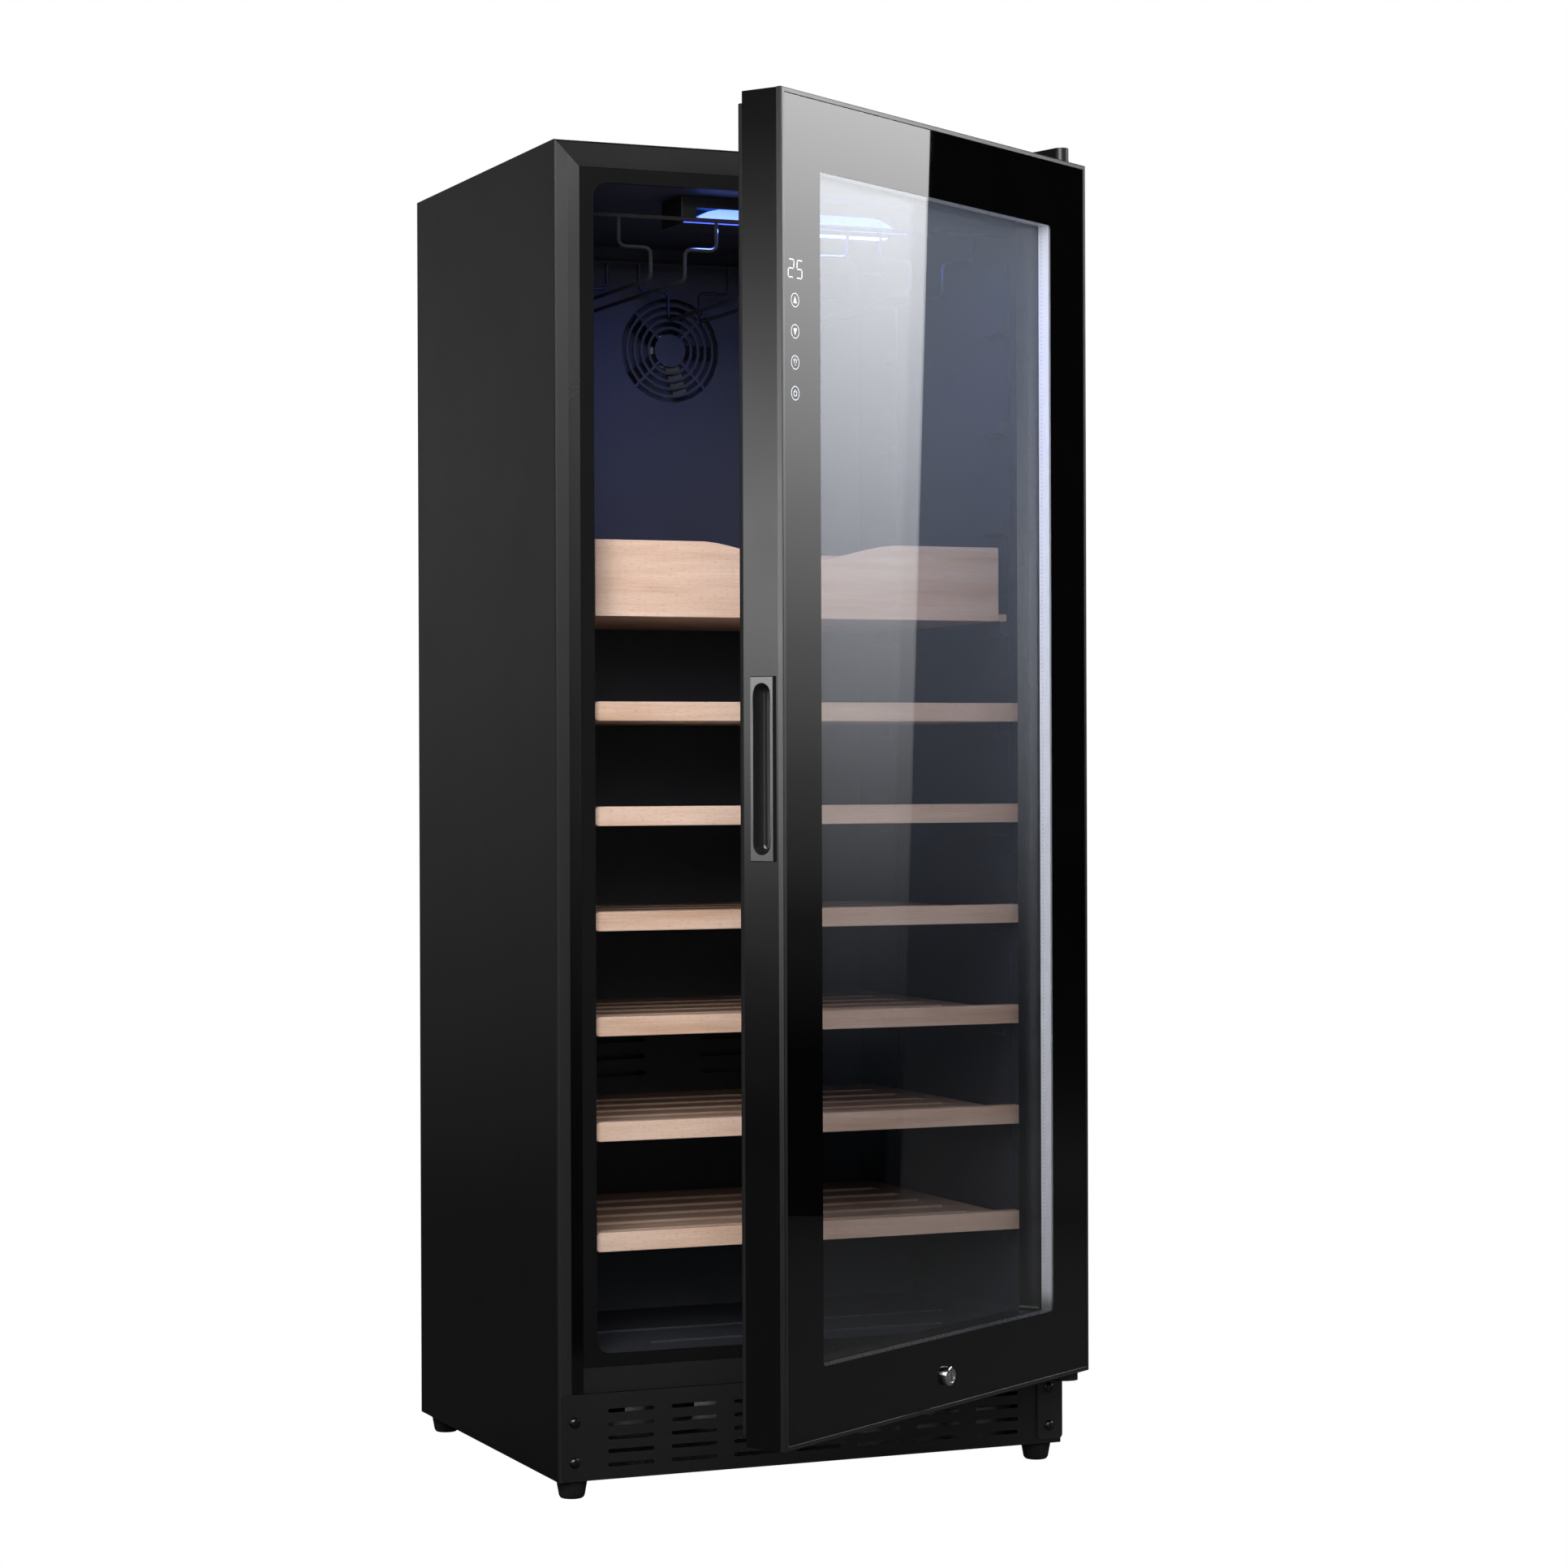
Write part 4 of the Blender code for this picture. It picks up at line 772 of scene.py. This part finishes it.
for number, height in enumerate(look["iconHeights"]):
    centre = (displayLow.x + look["iconAcross"], displayLow.z + height)
    r = look["iconRadius"]
    arc(bm, centre, r, 0, 360, look["line"], 36)
    if number < 2:
        up = 1 if number == 0 else -1
        count = look["arrowBars"]
        for step in range(count):
            level = centre[1] + up * (step / (count - 1) - 0.45) * r * look["arrowTall"]
            reach = r * look["arrowWide"] * (1 - step / count)
            bar(bm, (centre[0] - reach, level), (centre[0] + reach, level), r * look["arrowBar"])
    elif number == 2:
        lift = centre[1] + r * look["bulbUp"]
        arc(bm, (centre[0], lift), r * look["bulb"], -50, 230, look["line"], 14)
        cap, half = centre[1] - r * look["capDown"], r * look["capHalf"]
        bar(bm, (centre[0] - half, cap), (centre[0] + half, cap), look["line"])
        for ray in (30, 90, 150):
            way = Vector((math.cos(math.radians(ray)), math.sin(math.radians(ray))))
            start, end = [Vector((centre[0], lift)) + way * r * share for share in look["rays"]]
            bar(bm, start, end, look["line"])
    else:
        arc(bm, centre, r * look["ring"], 130, 410, look["line"], 18)
        start, end = [(centre[0], centre[1] + r * share) for share in look["stem"]]
        bar(bm, start, end, look["line"])
piece("display_icons", bm, iconWhite, "door", swing)
print("door pieces made")

# lock bezel
lockLow, lockHigh = shutBox("lock_body")
lockMiddle = Vector(((lockLow.x + lockHigh.x) / 2, lockLow.y, (lockLow.z + lockHigh.z) / 2))
bezelLook = {"outer": 0.0102, "stand": 0.0060, "hole": 0.0061, "barrel": 0.0087}
look = bezelLook
bm = bmesh.new()
profile = [(look["barrel"], lockHigh.y - lockLow.y), (look["barrel"], look["stand"] + 0.0002),
           (look["outer"], look["stand"] - 0.0001), (look["outer"], 0.0022), (look["outer"] - 0.0004, 0.0012),
           (look["outer"] - 0.0012, 0.0005), (look["outer"] - 0.0022, 0.0001), (look["hole"] + 0.0012, 0.0),
           (look["hole"] + 0.0004, 0.0004), (look["hole"], 0.0012), (look["hole"], lockHigh.y - lockLow.y)]
spun(bm, profile)
facing = Matrix.Rotation(-math.pi / 2, 4, "X")
bezel = piece("lock_bezel", bm, chrome, "door", swing @ Matrix.Translation(lockMiddle) @ facing, smooth=50)
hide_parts("lock_body")

# ribbed feet
footLook = {
    "ribs": 32, "ribDepth": 0.0007, "steps": 128, "ribFrom": 0.0125, "ribLow": 0.001, "ribHigh": 0.0165,
    "pad": [(0, 0), (0.0108, 0), (0.0118, 0.0003), (0.0131, 0.0016), (0.0139, 0.0034), (0.0160, 0.0150),
            (0.0164, 0.0170), (0.0165, 0.0186), (0.0159, 0.0196), (0.0060, 0.0197), (0.0041, 0.0199)],
    "thread": 0.0040, "chamfer": 0.0006,
}
look = footLook
for word in ("front_left", "front_right", "rear_left", "rear_right"):
    low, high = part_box(f"foot_{word}")
    middle = (low + high) / 2
    bm = bmesh.new()
    thread, chamfer = look["thread"], look["chamfer"]
    stem = [(thread, high.z - chamfer), (thread - chamfer, high.z), (0, high.z)]
    spun(bm, look["pad"] + stem, look["steps"])
    for vert in bm.verts:
        out = math.hypot(vert.co.x, vert.co.y)
        if out > look["ribFrom"] and look["ribLow"] < vert.co.z < look["ribHigh"]:
            angle = math.atan2(vert.co.y, vert.co.x)
            groove = max(0.0, math.cos(angle * look["ribs"])) ** 2 * look["ribDepth"]
            vert.co.x *= 1 - groove / out
            vert.co.y *= 1 - groove / out
    foot = piece(f"ribbed_foot_{word}", bm, rubber, f"levelling_foot_{word}",
                 Matrix.Translation((middle.x, middle.y, low.z)), smooth=60)
    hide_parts(f"foot_{word}")

# lit edge under the lamp
lampLow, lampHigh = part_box("lamp_housing")
edgeLook = {"inset": 0.002, "height": 0.0011, "depth": 0.0012, "lift": 0.0012, "round": 0.0003}
look = edgeLook
bm = bmesh.new()
span = lampHigh.x - lampLow.x - 2 * look["inset"]
size = Matrix.Diagonal((span, look["depth"], look["height"], 1))
lampMiddle = (lampLow.x + lampHigh.x) / 2
place = Matrix.Translation((lampMiddle, lampLow.y - look["depth"] * 0.3, lampLow.z + look["lift"]))
bmesh.ops.create_cube(bm, size=1, matrix=place @ size)
rounded(bm, bm.edges, look["round"])
lampEdge = piece("lamp_edge", bm, edgeGlow, "cabinet", smooth=50)
print("small pieces made")


# room, lamps and camera
def glowSheet(name, corners, stops, strength):
    # a studio reflector whose light changes with height: stops are (height in metres, brightness up to one)
    bm = bmesh.new()
    verts = bmesh.ops.create_circle(bm, cap_ends=True, segments=4, radius=1)["verts"]
    for vert, corner in zip(verts, corners):
        vert.co = corner
    mesh = bpy.data.meshes.new(name)
    bm.to_mesh(mesh)
    bm.free()
    made = bpy.data.objects.new(name, mesh)
    bpy.context.scene.collection.objects.link(made)
    sheet = Finish(name + "_light", {})
    height = sheet.axes()[2]
    low, high = stops[0][0], stops[-1][0]
    greys = [((at - low) / (high - low), (value, value, value)) for at, value in stops]
    level = sheet.ramp(height.between(low, high), greys)
    sheet.surface(sheet.node("Emission", None, {"Color": level, "Strength": strength}))
    mesh.materials.append(sheet.material)
    made.visible_camera = False
    made.visible_shadow = False


def lamp(name, place, target, size, power, colour=(1, 1, 1), spread=180):
    light = bpy.data.lights.new(name, "AREA")
    light.shape = "RECTANGLE"
    light.size, light.size_y = size
    light.energy = power
    light.color = colour
    light.spread = math.radians(spread)
    made = bpy.data.objects.new(name, light)
    made.location = place
    made.rotation_euler = (Vector(target) - Vector(place)).to_track_quat("-Z", "Y").to_euler()
    made.visible_camera = False
    bpy.context.scene.collection.objects.link(made)
    return made


studio = {
    "key": 110, "keyPlace": (-1.75, -3.15, 2.15), "keySize": (2.0, 2.0),
    "upper": 3, "upperPlace": (-2.2, -1.9, 2.6), "upperSize": (0.8, 0.8), "upperSpread": 40,
    "rear": 26, "rearPlace": (1.4, 3.4, 2.9), "rearSize": (1.6, 1.6),
    "right": 30, "rightPlace": (3.2, 2.0, 2.2), "rightSize": (1.4, 1.4),
    "cabin": 1.1, "cabinColour": (0.08, 0.16, 1.0),
    "world": 0.003, "floorLeft": 0.004, "floorRight": 0.11, "floorFrom": -0.3, "floorTo": 0.6,
}


def fadeStops(low, high, power=2.2, count=8):
    return [(low + (high - low) * i / (count - 1), (i / (count - 1)) ** power) for i in range(count)]


# name, strength, the four corners in turn, and how bright each height is
cards = (
    ("glass_card", 7.0, ((2.6, -0.247, 2.2), (2.6, -0.313, 0.0), (2.6, -1.6, 0.0), (2.6, -1.6, 2.2)),
     fadeStops(0.28, 1.95)),
    ("edge_card", 4.6, ((-3.0, 0.1, 2.2), (-3.0, 0.1, 0.02), (-3.0, -0.8, 0.02), (-3.0, -0.8, 2.2)),
     [(0.34, 0.0), (0.44, 0.03), (0.54, 0.08), (0.64, 0.21), (0.79, 0.48), (0.94, 0.76), (1.14, 1.0),
      (1.34, 0.7), (1.54, 0.31), (1.74, 0.07), (1.93, 0.0)]),
    ("side_card", 0.19, ((-2.6, 3.0, 2.6), (-2.6, 3.0, 0.02), (-0.5, 3.0, 0.02), (-0.5, 3.0, 2.6)),
     [(0.0, 0.18), (0.14, 0.25), (0.38, 0.4), (0.63, 0.58), (0.87, 0.78), (1.12, 0.97), (1.37, 1.0),
      (1.61, 0.95), (1.98, 0.7)]),
    ("flange_card", 1.3, ((0.7, -4.0, 2.6), (0.7, -4.0, 0.02), (2.8, -4.0, 0.02), (2.8, -4.0, 2.6)),
     [(0.0, 0.05), (0.5, 0.15), (0.9, 0.35), (1.3, 0.65), (1.7, 0.92), (2.1, 1.0)]),
)
for name, strength, corners, stops in cards:
    glowSheet(name, corners, stops, strength)
print("reflectors made")

lamp("key_softbox", studio["keyPlace"], (0, -0.1, 0.8), studio["keySize"], studio["key"])
lamp("upper_softbox", studio["upperPlace"], (0, 0.1, 1.35), studio["upperSize"], studio["upper"],
     spread=studio["upperSpread"])
lamp("rear_softbox", studio["rearPlace"], (0, 0.4, 0.8), studio["rearSize"], studio["rear"])
lamp("right_softbox", studio["rightPlace"], (0.3, 0.3, 0.8), studio["rightSize"], studio["right"])
cabinY = lampLow.y + 0.012
lamp("cabin_light", (lampMiddle, cabinY, lampLow.z - 0.004), (lampMiddle, cabinY, 0), (0.22, 0.02),
     studio["cabin"], studio["cabinColour"])


def firstSight(tree):
    # one for rays that have met nothing but clear glass: the floor and backdrop look white to them,
    # and hardly light the cooler
    path = tree.nodes.new("ShaderNodeLightPath")
    scattered = Signal(tree, path.outputs["Diffuse Depth"]) + Signal(tree, path.outputs["Glossy Depth"])
    return scattered.below(0.5)


bm = bmesh.new()
bmesh.ops.create_grid(bm, x_segments=1, y_segments=1, size=30)
mesh = bpy.data.meshes.new("floor")
bm.to_mesh(mesh)
bm.free()
floor = bpy.data.objects.new("floor", mesh)
bpy.context.scene.collection.objects.link(floor)
pale = Finish("floor_pale", {"Roughness": 0.9})
across = pale.axes()[0].between(studio["floorFrom"], studio["floorTo"])
pale.set({"Base Color": pale.mixed(across, (studio["floorLeft"],) * 3, (studio["floorRight"],) * 3)})
glow = pale.node("Emission", None, {"Color": (1, 1, 1), "Strength": 1.0})
pale.surface(pale.blended(firstSight(pale.tree), pale.plain(), glow))
mesh.materials.append(pale.material)

world = bpy.data.worlds.new("studio")
bpy.context.scene.world = world
world.use_nodes = True
tree = world.node_tree
backdrop = tree.nodes["Background"].inputs
feed(tree, backdrop["Strength"], firstSight(tree) * (1.0 - studio["world"]) + studio["world"])
feed(tree, backdrop["Color"], (1, 1, 1))
bpy.context.scene.view_settings.view_transform = "Standard"

shot = {
    "place": (-1.61473, -3.76037, 0.77425), "lens": 85.234,
    "yaw": 23.026, "pitch": -0.236, "roll": -0.193,  # degrees
}
yaw, pitch, roll = [math.radians(shot[key]) for key in ("yaw", "pitch", "roll")]
look = Vector((math.sin(yaw) * math.cos(pitch), math.cos(yaw) * math.cos(pitch), math.sin(pitch)))
right = look.cross(Vector((0, 0, 1))).normalized()
up = right.cross(look)
side = right * math.cos(roll) + up * math.sin(roll)
head = up * math.cos(roll) - right * math.sin(roll)
cameraData = bpy.data.cameras.new("camera")
cameraData.lens = shot["lens"]
cameraData.sensor_width = 36
cameraData.clip_end = 200
camera = bpy.data.objects.new("camera", cameraData)
turn = Matrix((side, head, -look)).transposed().to_4x4()
camera.matrix_world = Matrix.Translation(shot["place"]) @ turn
bpy.context.scene.collection.objects.link(camera)
bpy.context.scene.camera = camera
print("studio made")
